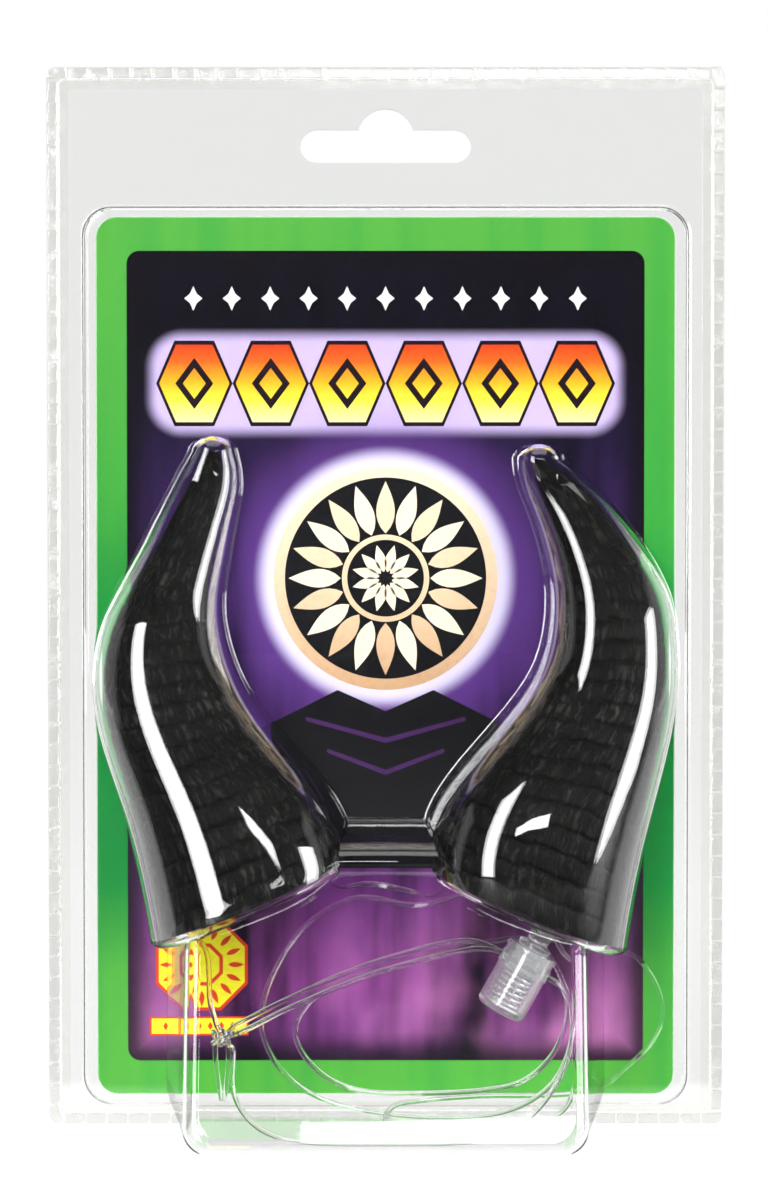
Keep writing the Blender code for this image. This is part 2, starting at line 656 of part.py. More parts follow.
def torus(name, frame, radius, thickness, material, around=12, sides=6):
    """A ring of round section about the Z axis of its frame."""
    mesh = bpy.data.meshes.new(name)
    solid = bmesh.new()
    rings = []
    for i in range(around):
        angle = math.tau * i / around
        ring = []
        for k in range(sides):
            turn = math.tau * k / sides
            out = radius + thickness / 2 * math.cos(turn)
            rise = thickness / 2 * math.sin(turn)
            point = Vector((out * math.cos(angle), out * math.sin(angle), rise))
            ring.append(solid.verts.new(frame @ point))
        rings.append(ring)
    for i, ring in enumerate(rings):
        after = rings[(i + 1) % around]
        for k in range(sides):
            over = (k + 1) % sides
            solid.faces.new((ring[k], ring[over], after[over], after[k]))
    bmesh.ops.recalc_face_normals(solid, faces=solid.faces)
    solid.to_mesh(mesh)
    solid.free()
    mesh.shade_smooth()
    return add_object(name, mesh, material)


def make_knot(material):
    """The overhand knot as a lump with two wraps, and the two cut ends that hang from it."""
    place = to_world(*KNOT_PLACE)
    half = [size / 2 for size in KNOT_SIZE]
    knot = turned("cord_knot", arc(0, 0, 1, -90, 90, 7), 10, material)
    knot.data.transform(Matrix.Translation(place) @ Matrix.Diagonal((*half, 1)))
    for label, lean in (("a", 65), ("b", 115)):
        frame = Matrix.Translation(place) @ Matrix.Rotation(math.radians(lean), 4, "Y")
        wrap = torus("knot_wrap_" + label, frame, half[2], CORD_DIAMETER, material)
        combine(knot, wrap, "UNION")
    for label, start, end in KNOT_TAILS:
        points = []
        for share in (0, 0.3, 0.6, 1):
            across, depth = (a + (b - a) * share for a, b in zip(start, end))
            tail_place = (KNOT_PLACE[0] + across, KNOT_PLACE[1] + depth)
            points.append(to_world(*tail_place, KNOT_PLACE[2] - share * TAIL_LENGTH))
        combine(knot, rod("knot_tail_" + label, points, CORD_DIAMETER, 8, material), "UNION")
    return knot


def lock_frame():
    """An empty on the lock's axis, at the barrel's bottom."""
    empty = bpy.data.objects.new("lock_axis", None)
    bpy.context.scene.collection.objects.link(empty)
    axis = Vector((math.sin(LOCK_TILT), 0, math.cos(LOCK_TILT)))
    empty.location = to_world(*LOCK_PLACE) - axis * LOCK_HOLE_UP
    empty.rotation_euler = (0, LOCK_TILT, 0)
    return empty


def lock_slot(name, length, low, high, material):
    """A cutter across the lock for both strands of the cord."""
    half = STRAND_SPACING / 2 + STRAND_ROOM
    corner = LOCK_HOLE_CORNER
    outline = (
        arc(half - corner, low + corner, corner, -90, 0, 2)
        + arc(half - corner, high - corner, corner, 0, 90, 2)
        + arc(corner - half, high - corner, corner, 90, 180, 2)
        + arc(corner - half, low + corner, corner, 180, 270, 2)
    )
    loops = [[Vector((x, y, z)) for y, z in outline] for x in (-length, length)]
    return loft(name, loops, material)


def lock_barrel(material):
    """The lock's cup, with a rounded bottom edge and a small lip round its mouth."""
    outer = BARREL_RADIUS
    top = BARREL_LENGTH
    profile = [(0, 0)]
    profile += arc(outer - BARREL_WALL, BARREL_WALL, BARREL_WALL, -90, 0, 3)
    profile += [
        (outer, top - BARREL_LIP_HEIGHT - BARREL_LIP),
        (outer + BARREL_LIP, top - BARREL_LIP_HEIGHT),
        (outer + BARREL_LIP, top - LOCK_EDGE),
        (outer, top),
        (BORE_RADIUS, top),
        (BORE_RADIUS, BARREL_WALL),
        (0, BARREL_WALL),
    ]
    return turned("lock_barrel", profile, 20, material)


def lock_plunger(material):
    """The plunger: a stem that fills the bore, a neck and a flared head with a hollow top."""
    stem = BORE_RADIUS - GAP
    shoulder = PLUNGER_SLOT_TOP + LOCK_HOLE_CORNER + GAP
    top = PLUNGER_TOP
    profile = [
        (0, PLUNGER_BOTTOM),
        (stem, PLUNGER_BOTTOM),
        (stem, shoulder),
        (PLUNGER_NECK_RADIUS, shoulder + LOCK_HOLE_CORNER),
        (PLUNGER_NECK_RADIUS, top - PLUNGER_HEAD_HEIGHT),
        (PLUNGER_HEAD_RADIUS, top - PLUNGER_RIM_HEIGHT),
        (PLUNGER_HEAD_RADIUS, top - LOCK_EDGE),
        (PLUNGER_HEAD_RADIUS - LOCK_EDGE, top),
        (PLUNGER_HEAD_RADIUS - PLUNGER_RIM_WIDTH, top),
        (0, top - PLUNGER_RIM_HEIGHT),
    ]
    return turned("lock_plunger", profile, 16, material)


def lock_spring(material):
    """The coil spring between the barrel's bottom and the plunger."""
    low = BARREL_WALL + GAP + SPRING_WIRE / 2
    high = PLUNGER_BOTTOM - GAP - SPRING_WIRE / 2
    radius = BORE_RADIUS - 2 * GAP - SPRING_WIRE / 2
    steps = SPRING_STEPS * SPRING_TURNS
    points = []
    for i in range(steps + 1):
        angle = math.tau * SPRING_TURNS * i / steps
        height = low + (high - low) * i / steps
        points.append(Vector((radius * math.cos(angle), radius * math.sin(angle), height)))
    return tube("lock_spring", points, SPRING_WIRE, 1, material)


def make_lock(plastic, steel):
    """The cord lock: a barrel, a sprung plunger in it and the spring below the plunger."""
    frame = lock_frame()
    reach = 2 * BARREL_RADIUS
    barrel = lock_barrel(plastic)
    barrel_slot = lock_slot("barrel_slot", reach, LOCK_HOLE_LOW, LOCK_HOLE_HIGH, plastic)
    combine(barrel, barrel_slot, "DIFFERENCE")
    plunger = lock_plunger(plastic)
    plunger_slot = lock_slot("plunger_slot", reach, LOCK_HOLE_LOW, PLUNGER_SLOT_TOP, plastic)
    combine(plunger, plunger_slot, "DIFFERENCE")
    spring = lock_spring(steel)
    for thing in (barrel, barrel_slot, plunger, plunger_slot, spring):
        thing.parent = frame


def main():
    for thing in list(bpy.data.objects):
        bpy.data.objects.remove(thing)
    clear = make_material("clear_sheet", (0.9, 0.93, 0.92), 0.05, transmission=0.9)
    print_card = make_material("printed_card", (0.12, 0.55, 0.2), 0.4)
    vinyl = make_material("black_vinyl", (0.015, 0.015, 0.014), 0.3)
    elastic = make_material("clear_elastic", (0.85, 0.85, 0.85), 0.2, transmission=0.6)
    plastic = make_material("clear_plastic", (0.88, 0.88, 0.88), 0.15, transmission=0.6)
    steel = make_material("spring_steel", (0.6, 0.6, 0.6), 0.3, metallic=1.0)
    make_pack_back(clear)
    make_card(print_card)
    make_pack_front(clear)
    make_horn("horn_left", LEFT_SECTIONS, HORN_LEVEL_LEFT, -1, vinyl)
    make_horn("horn_right", RIGHT_SECTIONS, HORN_LEVEL_RIGHT, 1, vinyl)
    make_cord("head_cord", HEAD_CORD_ROUTE, elastic)
    make_cord("chin_cord", CHIN_CORD_ROUTE, elastic)
    make_knot(elastic)
    make_lock(plastic, steel)


main()
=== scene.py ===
"""Looks of the devil horns on their elastic cords, in a clear blister pack with a card.

Metres, +Z up, the pack's front towards -Y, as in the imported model. Depths are measured forwards,
towards -Y, from the back face of the pack's back sheet.
"""

import math

import bmesh
import bpy
import numpy as np
from mathutils import Matrix, Vector


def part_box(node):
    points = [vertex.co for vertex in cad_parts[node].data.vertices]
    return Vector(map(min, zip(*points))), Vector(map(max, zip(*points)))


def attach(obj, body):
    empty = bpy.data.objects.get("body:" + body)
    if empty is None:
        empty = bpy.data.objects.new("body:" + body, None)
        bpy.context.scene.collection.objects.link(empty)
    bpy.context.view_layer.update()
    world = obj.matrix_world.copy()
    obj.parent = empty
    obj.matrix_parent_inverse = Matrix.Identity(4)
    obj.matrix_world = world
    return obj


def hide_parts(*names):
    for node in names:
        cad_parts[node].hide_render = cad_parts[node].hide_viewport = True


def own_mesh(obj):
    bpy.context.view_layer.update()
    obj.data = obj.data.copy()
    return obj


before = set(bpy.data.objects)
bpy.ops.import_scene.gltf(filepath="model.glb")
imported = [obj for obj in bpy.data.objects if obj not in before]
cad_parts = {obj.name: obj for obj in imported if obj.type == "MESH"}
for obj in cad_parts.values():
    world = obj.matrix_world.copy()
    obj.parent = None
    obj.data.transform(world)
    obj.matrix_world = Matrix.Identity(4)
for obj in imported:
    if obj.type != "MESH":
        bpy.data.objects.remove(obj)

bl_info = {
    "name": "Horn pack",
    "version": (1, 0, 0),
    "blender": (4, 5, 0),
    "location": "3D View > Sidebar > Horn pack",
    "description": "Dresses a pair of horns in a clear blister pack",
    "category": "Object",
}

MM = 0.001

# Pack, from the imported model's own boxes
BACK_LOW, BACK_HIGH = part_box("pack_back")
CARD_LOW, CARD_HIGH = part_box("card")
FRONT_LOW, FRONT_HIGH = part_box("pack_front")
PACK_WIDTH = BACK_HIGH[0] - BACK_LOW[0]
PACK_HEIGHT = BACK_HIGH[2] - BACK_LOW[2]
PACK_BACK = BACK_HIGH[1]
PACK_DEPTH = PACK_BACK - FRONT_LOW[1]
PACK_CORNER = 2 * MM
SHEET = BACK_HIGH[1] - BACK_LOW[1]
GAP = 0.3 * MM
CARD_WIDTH = CARD_HIGH[0] - CARD_LOW[0]
CARD_HEIGHT = CARD_HIGH[2] - CARD_LOW[2]
CARD_MIDDLE = (CARD_HIGH[2] + CARD_LOW[2]) / 2
CARD_FACE = PACK_BACK - CARD_LOW[1]
FLANGE_BACK = SHEET + GAP
FLANGE_FACE = FLANGE_BACK + SHEET

# Raised forms of the blister
POCKET_MARGIN_SIDE = 2 * MM
POCKET_MARGIN_END = 1.3 * MM
POCKET_CORNER = 5.5 * MM
POCKET_RISE = 2.15 * MM
POCKET_FACE = FLANGE_FACE + POCKET_RISE
POCKET_BEND = 0.55 * MM
ROOT_BEND = 0.8 * MM
ROOT_DROP = 0.02 * MM
ROOM_AT_BASE = 2.2 * MM
ROOM_AT_TIP = 3.2 * MM
ROOM_IN_FRONT = 0.8 * MM
DOME_REACH = 3 * MM
DOME_TURNS = (12, 24, 36, 48, 59, 69, 78, 85)
DOME_FLATNESS = 0.45
BASE_BEND = 2 * MM
BASE_FRONT_BEND = 0.7 * MM
BASE_BEND_SHARE = 0.03
BUBBLE_SQUARENESS = 0.65
BUBBLE_TIP_SHARE = 0.95
BRIDGE_SQUARENESS = 0.9
BRIDGE_HALF_WIDTH = 15 * MM
BRIDGE_LOW = 45 * MM
BRIDGE_HIGH = 57.5 * MM
BRIDGE_DEPTH = 23 * MM
BRIDGE_SADDLE = 1.2 * MM
FOOT_ROOT_HALF = 41.5 * MM
FOOT_FRONT_HALF = 36.6 * MM
FOOT_ROOT_LEVEL = 3 * MM
FOOT_SIDE_TOP = 38 * MM
FOOT_TOP = 53 * MM
FOOT_TOP_HALF = 10 * MM
FOOT_TOP_DEPTH = 20 * MM
FOOT_CORNER = 4.5 * MM
FOOT_EDGE = 2.5 * MM
LEAST_FLAT = 40 * MM**2

# Hang hole
SLOT_WIDTH = 32 * MM
SLOT_HEIGHT = 6.2 * MM
SLOT_LEVEL = PACK_HEIGHT - 14.8 * MM
HUMP_RADIUS = 5.3 * MM
HUMP_RISE = 1.7 * MM

# Welded rim: a row of pressed cells and a raised line inside it
WELD_WIDTH = 2.3 * MM
WELD_RISE = 0.12 * MM
WELD_GROOVE = 0.35 * MM
WELD_LINE = 0.2 * MM
BOND_MARGIN = 1.8 * MM

# Horns
HORN_HEIGHT = 83.25 * MM
HORN_REACH = 41.7 * MM
HORN_BASE_WIDTH = 37.4 * MM
HORN_FLATNESS = 0.281
HORN_WALL = 1.5 * MM
HORN_LEVEL_LEFT = 43.34 * MM
HORN_LEVEL_RIGHT = 41.86 * MM
HORN_BACK = CARD_FACE + GAP
HOLLOW_END = 0.86
SMOOTH_POINTS = 400
SMOOTH_REACH = 36
RING_RUN = 0.9
RING_SPREAD = 0.13
CORD_HOLE_RADIUS = 1.15 * MM
CORD_HOLE_UP = 3 * MM
CORD_HOLE_TURN_OUTER = math.radians(54)
CORD_HOLE_TURN_INNER = math.radians(43.3)

# Cords, knot and lock
CORD_DIAMETER = 1 * MM
KNOT_PLACE = (-29.7 * MM, 20 * MM, 19.3 * MM)
TAIL_LENGTH = 11.5 * MM
LOCK_PLACE = (25.45 * MM, 18 * MM, 32.3 * MM)
LOCK_TILT = math.radians(29)
LOCK_HOLE_UP = 9.6 * MM
BARREL_RADIUS = 4.7 * MM
BARREL_LENGTH = 13 * MM
BARREL_WALL = 1.2 * MM
BARREL_LIP = 0.3 * MM
BORE_RADIUS = BARREL_RADIUS - BARREL_WALL
STRAND_SPACING = 1.3 * MM
STRAND_ROOM = CORD_DIAMETER / 2 + GAP
LOCK_HOLE_LOW = LOCK_HOLE_UP - STRAND_ROOM
LOCK_HOLE_HIGH = LOCK_HOLE_UP + STRAND_ROOM
PLUNGER_TRAVEL = 3 * MM
PLUNGER_BOTTOM = LOCK_HOLE_LOW - 0.9 * MM
PLUNGER_TOP = PLUNGER_BOTTOM + 10.3 * MM
PLUNGER_SLOT_TOP = LOCK_HOLE_HIGH + PLUNGER_TRAVEL
PLUNGER_NECK_RADIUS = 2 * MM
PLUNGER_HEAD_RADIUS = 3.75 * MM
SPRING_TURNS = 6
SPRING_WIRE = 0.45 * MM

# Card print, as places on the card's face
FIELD_HALF_WIDTH = 48.5 * MM
FIELD_HALF_HEIGHT = 76.1 * MM
FIELD_CORNER = 2.4 * MM
BAND_LEVEL = 139.5 * MM
BAND_HALF_HEIGHT = 8 * MM
BAND_HALF_WIDTH = 43 * MM
BAND_COUNT = 6
DOTS_LEVEL = 155.4 * MM
DOTS_COUNT = 11
DOTS_HALF_WIDTH = 36 * MM
ROSETTE_LEVEL = 103 * MM
ROSETTE_RADIUS = 21 * MM
BADGE_PLACE = (-34.6 * MM, 30.2 * MM)
BADGE_RADIUS = 9.4 * MM
BAR_PLACE = (-35.1 * MM, 18.6 * MM)
BAR_HALF = (9.3 * MM, 1.8 * MM)
SHIELD = ((0, 78), (-9, 82), (-24, 74.5), (-27, 48), (27, 48), (24, 74.5), (9, 82))
INK = 0.02 * MM

# Camera: its distance in front of the flange, its height and the level it looks at there
CAMERA_DISTANCE = 640 * MM
CAMERA_LEVEL = 117 * MM
CAMERA_AIM = 98.9 * MM
CAMERA_LENS = 102.3

# Sections of a horn from its base to its tip. across: share of HORN_REACH from the pack's
# middle. up: share of HORN_HEIGHT above the base's middle. width: share of HORN_BASE_WIDTH.
# tilt: the section's slope in degrees, rising towards the pack's middle. Each row holds these four.
LEFT_SECTIONS = (
    (0.587, 0.000, 1.000, 23.6), (0.638, 0.103, 0.957, 21), (0.738, 0.226, 0.843, 17),
    (0.859, 0.334, 0.735, 12), (0.958, 0.442, 0.652, 6), (0.999, 0.533, 0.572, 2),
    (0.995, 0.637, 0.452, 0), (0.954, 0.707, 0.372, 0), (0.903, 0.774, 0.308, 0),
    (0.852, 0.852, 0.246, 0), (0.809, 0.909, 0.204, 0), (0.780, 0.960, 0.159, 0),
    (0.771, 1.000, 0.057, 0),
)
RIGHT_SECTIONS = (
    (0.617, 0.000, 1.000, 23), (0.651, 0.115, 0.987, 20), (0.738, 0.233, 0.893, 17),
    (0.842, 0.339, 0.777, 13), (0.927, 0.428, 0.678, 9), (0.992, 0.518, 0.588, 4),
    (1.011, 0.603, 0.516, 0), (1.006, 0.703, 0.462, 0), (0.944, 0.788, 0.378, 0),
    (0.877, 0.861, 0.312, 0), (0.801, 0.926, 0.256, 0), (0.734, 0.970, 0.189, 0),
    (0.686, 1.000, 0.064, 0),
)
HORNS = (
    # name, sections, level of the base's middle, side
    ("left", LEFT_SECTIONS, HORN_LEVEL_LEFT, -1),
    ("right", RIGHT_SECTIONS, HORN_LEVEL_RIGHT, 1),
)

# Routes of the cords in millimetres: across, depth, up. Chosen one by one along the strands.
HEAD_CORD_ROUTE = (
    (-30.9, 19.3, 21.4), (-32.2, 17.5, 25.5), (-32.5, 15, 29.9), (-33.2, 10, 33.4),
    (-34.8, 5.6, 35.6), (-36.4, 3.2, 37.8), (-37.1, 2.6, 40.0), (-36.2, 3.7, 41.5),
    (-34.8, 5.5, 42.1), (-33.4, 7.5, 42.7), (-31.6, 9.4, 43.8), (-28.6, 10.6, 45.4),
    (-22.8, 10.8, 47.9), (-18.0, 10.4, 49.8), (-15.5, 8.9, 50.5), (-14.2, 7.1, 51.1),
    (-13.0, 5.5, 51.6), (-11.7, 3.8, 52.1), (-10.7, 2.7, 51.0), (-10.3, 3.0, 48.6),
    (-9.8, 5.0, 46.2), (-7.3, 8.5, 45.8), (-3.0, 12, 46.7), (3.0, 13, 45.8),
    (7.1, 9, 44.3), (9.8, 5.2, 44.3), (11.3, 3.0, 46.2), (11.9, 2.6, 48.8),
    (12.8, 3.7, 50.4), (14.2, 5.5, 50.0), (15.6, 7.4, 49.4), (17.2, 9.2, 48.6),
    (19.8, 10.4, 47.5), (24.1, 10.8, 45.6), (29.6, 10.5, 43.4), (32.8, 9.4, 42.2),
    (34.7, 7.4, 41.4), (36.1, 5.5, 40.7), (37.5, 3.7, 40.1), (38.2, 2.6, 38.6),
    (37.6, 3.3, 36.3), (36.2, 6, 33.9), (35.4, 12, 31.5), (35.0, 20, 28.6),
    (34.8, 24, 25.5), (33.1, 27.3, 17.4), (30.9, 28.6, 12.5), (27.2, 29.8, 7.7),
    (20.8, 30.9, 3.2), (13.1, 31.0, 1.9), (2.6, 31.0, 1.6), (-13.8, 30.9, 1.9),
    (-18.7, 29.8, 2.6), (-23.4, 27.5, 4.4), (-26.4, 25, 7.3), (-28.0, 22.8, 11),
    (-27.9, 21.6, 14.5), (-27.9, 21.0, 17.3),
)
CHIN_CORD_ROUTE = (
    (-27.9, 19.2, 21.2), (-24.8, 19.2, 22.8), (-19.4, 18.8, 25.5), (-14.1, 18.3, 27.9),
    (-8.7, 17.9, 30.3), (-3.2, 17.6, 32.4), (2.6, 17.4, 34.2), (9.9, 17.35, 36.1),
    (16.0, 17.35, 36.7), (20.2, 17.35, 35.2), (22.85, 17.35, 33.75), (25.45, 17.35, 32.3),
    (28.05, 17.35, 30.86), (29.9, 17.35, 29.83), (31.4, 17.35, 29.0), (33.2, 17.2, 26.6),
    (33.0, 16.6, 21.1), (31.2, 16, 16.3), (27.9, 15, 12.3), (24.3, 14.5, 10.0),
    (19.2, 14.5, 8.9), (8.2, 14, 8.1), (-4.0, 12, 8.1), (-8.8, 11, 9.4),
    (-12.8, 11, 12.0), (-16.1, 11, 16.2), (-16.7, 11, 19.9), (-14.3, 11, 24.3),
    (-8.8, 11, 27.6), (-3.2, 11, 29.7), (2.7, 10.5, 31.1), (10.1, 10, 33.4),
    (19.1, 9.5, 35.4), (26.0, 9, 36.0), (30.4, 9, 32.9), (34.1, 10, 24.9),
    (35.8, 12, 16.4), (35.1, 15, 10.4), (33.4, 18.5, 6.8), (29.4, 23, 4.6),
    (21.6, 27.4, 3.2), (13.3, 28.8, 2.7), (7.8, 28.8, 2.7), (3.5, 27.4, 3.0),
    (0.5, 24.8, 3.8), (0.1, 21, 5.3), (1.9, 17, 6.4), (6.9, 12, 6.4),
    (17.3, 8, 6.5), (28.8, 5, 6.1), (35.8, 3, 6.2), (40.3, 2.13, 7.1),
    (45.9, 2.13, 11.4), (49.6, 2.13, 15.2), (51.9, 2.13, 19.6), (51.9, 2.13, 23.8),
    (50.0, 2.13, 28.4), (47.0, 2.13, 31.8), (43.3, 2.13, 33.0), (40.9, 2.13, 32.7),
    (39.3, 2.14, 32.3), (37.7, 3.4, 31.7), (35.6, 6.8, 31.4), (33.4, 9.5, 33.0),
    (31.6, 10.8, 36.0), (29.6, 12.2, 39.6), (24.7, 13.2, 43.4), (18.3, 13.3, 45.4),
    (14.6, 12.4, 45.0), (11.3, 10.6, 43.7), (6.6, 9, 42.4), (3.0, 8.5, 42.5),
    (-1.0, 8.2, 43.4), (-5.5, 8, 43.6), (-10.6, 8, 41.5), (-16.2, 8, 37.0),
    (-20.1, 8, 31.1), (-22.7, 8, 24.6), (-23.2, 8, 19.8), (-21.6, 8, 14.6),
    (-18.1, 8, 10.0), (-13.6, 8, 6.8), (-6.6, 10, 4.8), (8.2, 15, 3.9),
    (22.6, 21, 6.2), (30.1, 24, 11.4), (33.3, 23.5, 17.3), (34.1, 22, 22.9),
    (33.3, 19.8, 27.0), (31.4, 18.65, 29.0), (29.9, 18.65, 29.83), (28.05, 18.65, 30.86),
    (25.45, 18.65, 32.3),
    (22.85, 18.65, 33.75), (20.3, 18.65, 35.1), (16.4, 19.0, 35.4), (12.4, 19.4, 34.8),
    (8.1, 19.8, 33.9), (2.6, 20, 32.5), (-2.5, 20.5, 31.0), (-7.9, 21, 29.0),
    (-13.3, 21.4, 26.8), (-18.8, 21.6, 24.4), (-24.2, 21.5, 21.6), (-26.9, 21.1, 20.3),
)


# Settings

COLOR = {"subtype": "COLOR", "size": 3}
FACTOR = {"subtype": "FACTOR", "min": 0, "max": 1}
LENGTH = {"unit": "LENGTH", "precision": 5}
POWER = {"unit": "POWER"}


class PackSettings(bpy.types.PropertyGroup):
    sheet_color: bpy.props.FloatVectorProperty(
        name="Sheet tint", description="Colour of the clear sheet",
        default=(0.985, 0.99, 0.982), **COLOR,
    )
    sheet_roughness: bpy.props.FloatProperty(
        name="Sheet roughness", description="How dull the clear sheet is", default=0.015, **FACTOR
    )
    weld_pitch: bpy.props.FloatProperty(
        name="Weld pitch", description="Distance from one pressed cell of the rim to the next",
        default=4.02 * MM, **LENGTH,
    )


class HornSettings(bpy.types.PropertyGroup):
    vinyl_dark: bpy.props.FloatVectorProperty(
        name="Vinyl", description="Colour of the horns' bare vinyl",
        default=(0.0025, 0.0025, 0.0023), **COLOR,
    )
    # Painted sheen: the lighter grey that the streaks on the rings' crests get stands in for light
    # catching the ridges.
    painted_sheen_color: bpy.props.FloatVectorProperty(
        name="Streaks", description="Colour of the dull streaks on the horns' rings",
        default=(0.034, 0.036, 0.032), **COLOR,
    )
    ring_count: bpy.props.IntProperty(
        name="Growth rings", description="Rings along each horn", min=1, default=21
    )
    ring_depth: bpy.props.FloatProperty(
        name="Ring depth", description="Depth of the grooves between the rings",
        default=0.42 * MM, **LENGTH,
    )
    stations: bpy.props.IntProperty(
        name="Stations", description="Sections along each horn", min=40, default=400
    )
    sides: bpy.props.IntProperty(
        name="Sides", description="Points round each horn", min=16, default=192
    )


class CordSettings(bpy.types.PropertyGroup):
    elastic_color: bpy.props.FloatVectorProperty(
        name="Elastic tint", description="Colour of the clear elastic",
        default=(0.985, 0.985, 0.985), **COLOR,
    )
    elastic_roughness: bpy.props.FloatProperty(
        name="Elastic roughness", description="How dull the elastic is", default=0.07, **FACTOR
    )
    plastic_color: bpy.props.FloatVectorProperty(
        name="Lock tint", description="Colour of the cord lock's clear plastic",
        default=(0.97, 0.975, 0.985), **COLOR,
    )
    plastic_roughness: bpy.props.FloatProperty(
        name="Lock roughness", description="How dull the cord lock is", default=0.06, **FACTOR
    )


class StudioSettings(bpy.types.PropertyGroup):
    left_power: bpy.props.FloatProperty(
        name="Left softbox", description="Power of the left softbox", default=9.5, **POWER
    )
    right_power: bpy.props.FloatProperty(
        name="Right softbox", description="Power of the right softbox", default=11.5, **POWER
    )
    middle_power: bpy.props.FloatProperty(
        name="Middle softbox", description="Power of the small softbox", default=0.6, **POWER
    )
    top_power: bpy.props.FloatProperty(
        name="Top light", description="Power of the soft light above", default=3, **POWER
    )
    side_power: bpy.props.FloatProperty(
        name="Side cards", description="Power of each dim card beside", default=2, **POWER
    )
    fill_power: bpy.props.FloatProperty(
        name="Fill light", description="Power of the wide light in front", default=28.5, **POWER
    )
    world_strength: bpy.props.FloatProperty(
        name="World", description="Strength of the even light all round", min=0, default=0.03
    )
    stage_glow: bpy.props.FloatProperty(
        name="Stage glow", description="How brightly the pale backdrop is lit", min=0, default=0.9
    )

# Geometry helpers


def to_world(across, depth, up):
    """The world point at a place across the pack, a depth in front of its back and a height."""
    return Vector((across, PACK_BACK - depth, up))


def arc(center_x, center_z, radius, start, end, steps):
    """Points of an arc between two angles in degrees, both ends included."""
    angles = [math.radians(start + (end - start) * i / steps) for i in range(steps + 1)]
    return [(center_x + radius * math.cos(a), center_z + radius * math.sin(a)) for a in angles]

def bend(*turns):
    """1 less the sine and 1 less the cosine of each turn in degrees, for a quarter-round bend."""
    return [(1 - math.sin(angle), 1 - math.cos(angle)) for angle in map(math.radians, turns)]


def circle(x, z, radius, steps=72, start=0):
    return arc(x, z, radius, start, start + 360, steps)[:-1]


def rounded_rectangle(half_width, low, high, corner, steps=10):
    x = half_width - corner
    low, high = low + corner, high - corner
    places = ((x, low), (x, high), (-x, high), (-x, low))
    quarters = [arc(*place, corner, 90 * i - 90, 90 * i, steps) for i, place in enumerate(places)]
    return sum(quarters, [])


def smooth_curve(points, steps):
    """Points along a centripetal Catmull-Rom curve through the given ones, steps to a span."""
    known = np.array(points, float)
    known = np.vstack([2 * known[0] - known[1], known, 2 * known[-1] - known[-2]])
    spans = np.sqrt(np.linalg.norm(np.diff(known[:, :3], axis=0), axis=1))
    slopes = np.diff(known, axis=0) / spans[:, None]
    share = np.linspace(0, 1, steps, endpoint=False)[:, None]
    made = []
    for i in range(1, len(known) - 2):
        before, span, after = spans[i - 1], spans[i], spans[i + 1]
        leave = (slopes[i - 1] * span + slopes[i] * before) / (before + span) * span
        arrive = (slopes[i] * after + slopes[i + 1] * span) / (span + after) * span
        rise = share**2 * (3 - 2 * share)
        made.append(
            known[i] * (1 - rise)
            + known[i + 1] * rise
            + leave * share * (1 - share) ** 2
            - arrive * share**2 * (1 - share)
        )
    made.append(known[-2:-1])
    return np.vstack(made)


def add_piece(name, data, *materials):
    piece = bpy.data.objects.new(name, data)
    bpy.context.scene.collection.objects.link(piece)
    for material in materials:
        data.materials.append(material)
    return piece


def dress(piece, material):
    """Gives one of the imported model's own pieces a material, on the object alone."""
    for slot in piece.material_slots:
        slot.link = "OBJECT"
        slot.material = material


def finish_mesh(name, solid, material, sharp_angle=35):
    """A smooth-shaded object from a bmesh, with outward faces."""
    bmesh.ops.recalc_face_normals(solid, faces=solid.faces)
    mesh = bpy.data.meshes.new(name)
    solid.to_mesh(mesh)
    solid.free()
    mesh.shade_smooth()
    mesh.set_sharp_from_angle(angle=math.radians(sharp_angle))
    return add_piece(name, mesh, material)


def add_bands(solid, rings, closed=False):
    """Joins rings of as many points each, the last to the first too if closed."""
    for low, high in zip(rings, rings[1:] + rings[:1] if closed else rings[1:]):
        for i, corner in enumerate(low):
            after = (i + 1) % len(low)
            solid.faces.new((corner, low[after], high[after], high[i]))


def loft(name, loops, material, sharp_angle=35, closed=False):
    """A solid through loops of as many points each, its ends capped or, if closed, joined."""
    solid = bmesh.new()
    rings = [[solid.verts.new(point) for point in loop] for loop in loops]
    add_bands(solid, rings, closed)
    if not closed:
        solid.faces.new(rings[0])
        solid.faces.new(rings[-1])
    return finish_mesh(name, solid, material, sharp_angle)


def turned(name, profile, sides, material, place):
    """A solid turned about Z from (radius, height) pairs that start and end on it, then placed."""
    solid = bmesh.new()
    start = solid.verts.new((0, 0, profile[0][1]))
    end = solid.verts.new((0, 0, profile[-1][1]))
    rings = [
        [solid.verts.new((x, y, z)) for x, y in circle(0, 0, r, sides)] for r, z in profile[1:-1]
    ]
    add_bands(solid, rings)
    for i in range(sides):
        after = (i + 1) % sides
        solid.faces.new((start, rings[0][after], rings[0][i]))
        solid.faces.new((end, rings[-1][i], rings[-1][after]))
    piece = finish_mesh(name, solid, material)
    piece.data.transform(place)
    return piece


def plate(name, outline, back, front, material):
    """A flat plate of an (across, up) outline between two depths."""
    loops = [[to_world(x, depth, z) for x, z in outline] for depth in (back, front)]
    return loft(name, loops, material)


def tube_mesh(name, points, radius, sides, material, closed=False):
    """A round tube along points, as a closed mesh."""
    path = np.array([tuple(point) for point in points], float)
    if closed:
        ahead = np.roll(path, -1, axis=0) - np.roll(path, 1, axis=0)
    else:
        ahead = np.gradient(path, axis=0)
    loops = []
    across = Vector((0.3, 1, 0.2))
    for point, direction in zip(path, ahead / np.linalg.norm(ahead, axis=1)[:, None]):
        forward = Vector(direction)
        across = (across - forward * across.dot(forward)).normalized()
        over = forward.cross(across)
        turns = circle(0, 0, radius, sides)
        loops.append([Vector(point) + across * x + over * y for x, y in turns])
    return loft(name, loops, material, 60, closed)


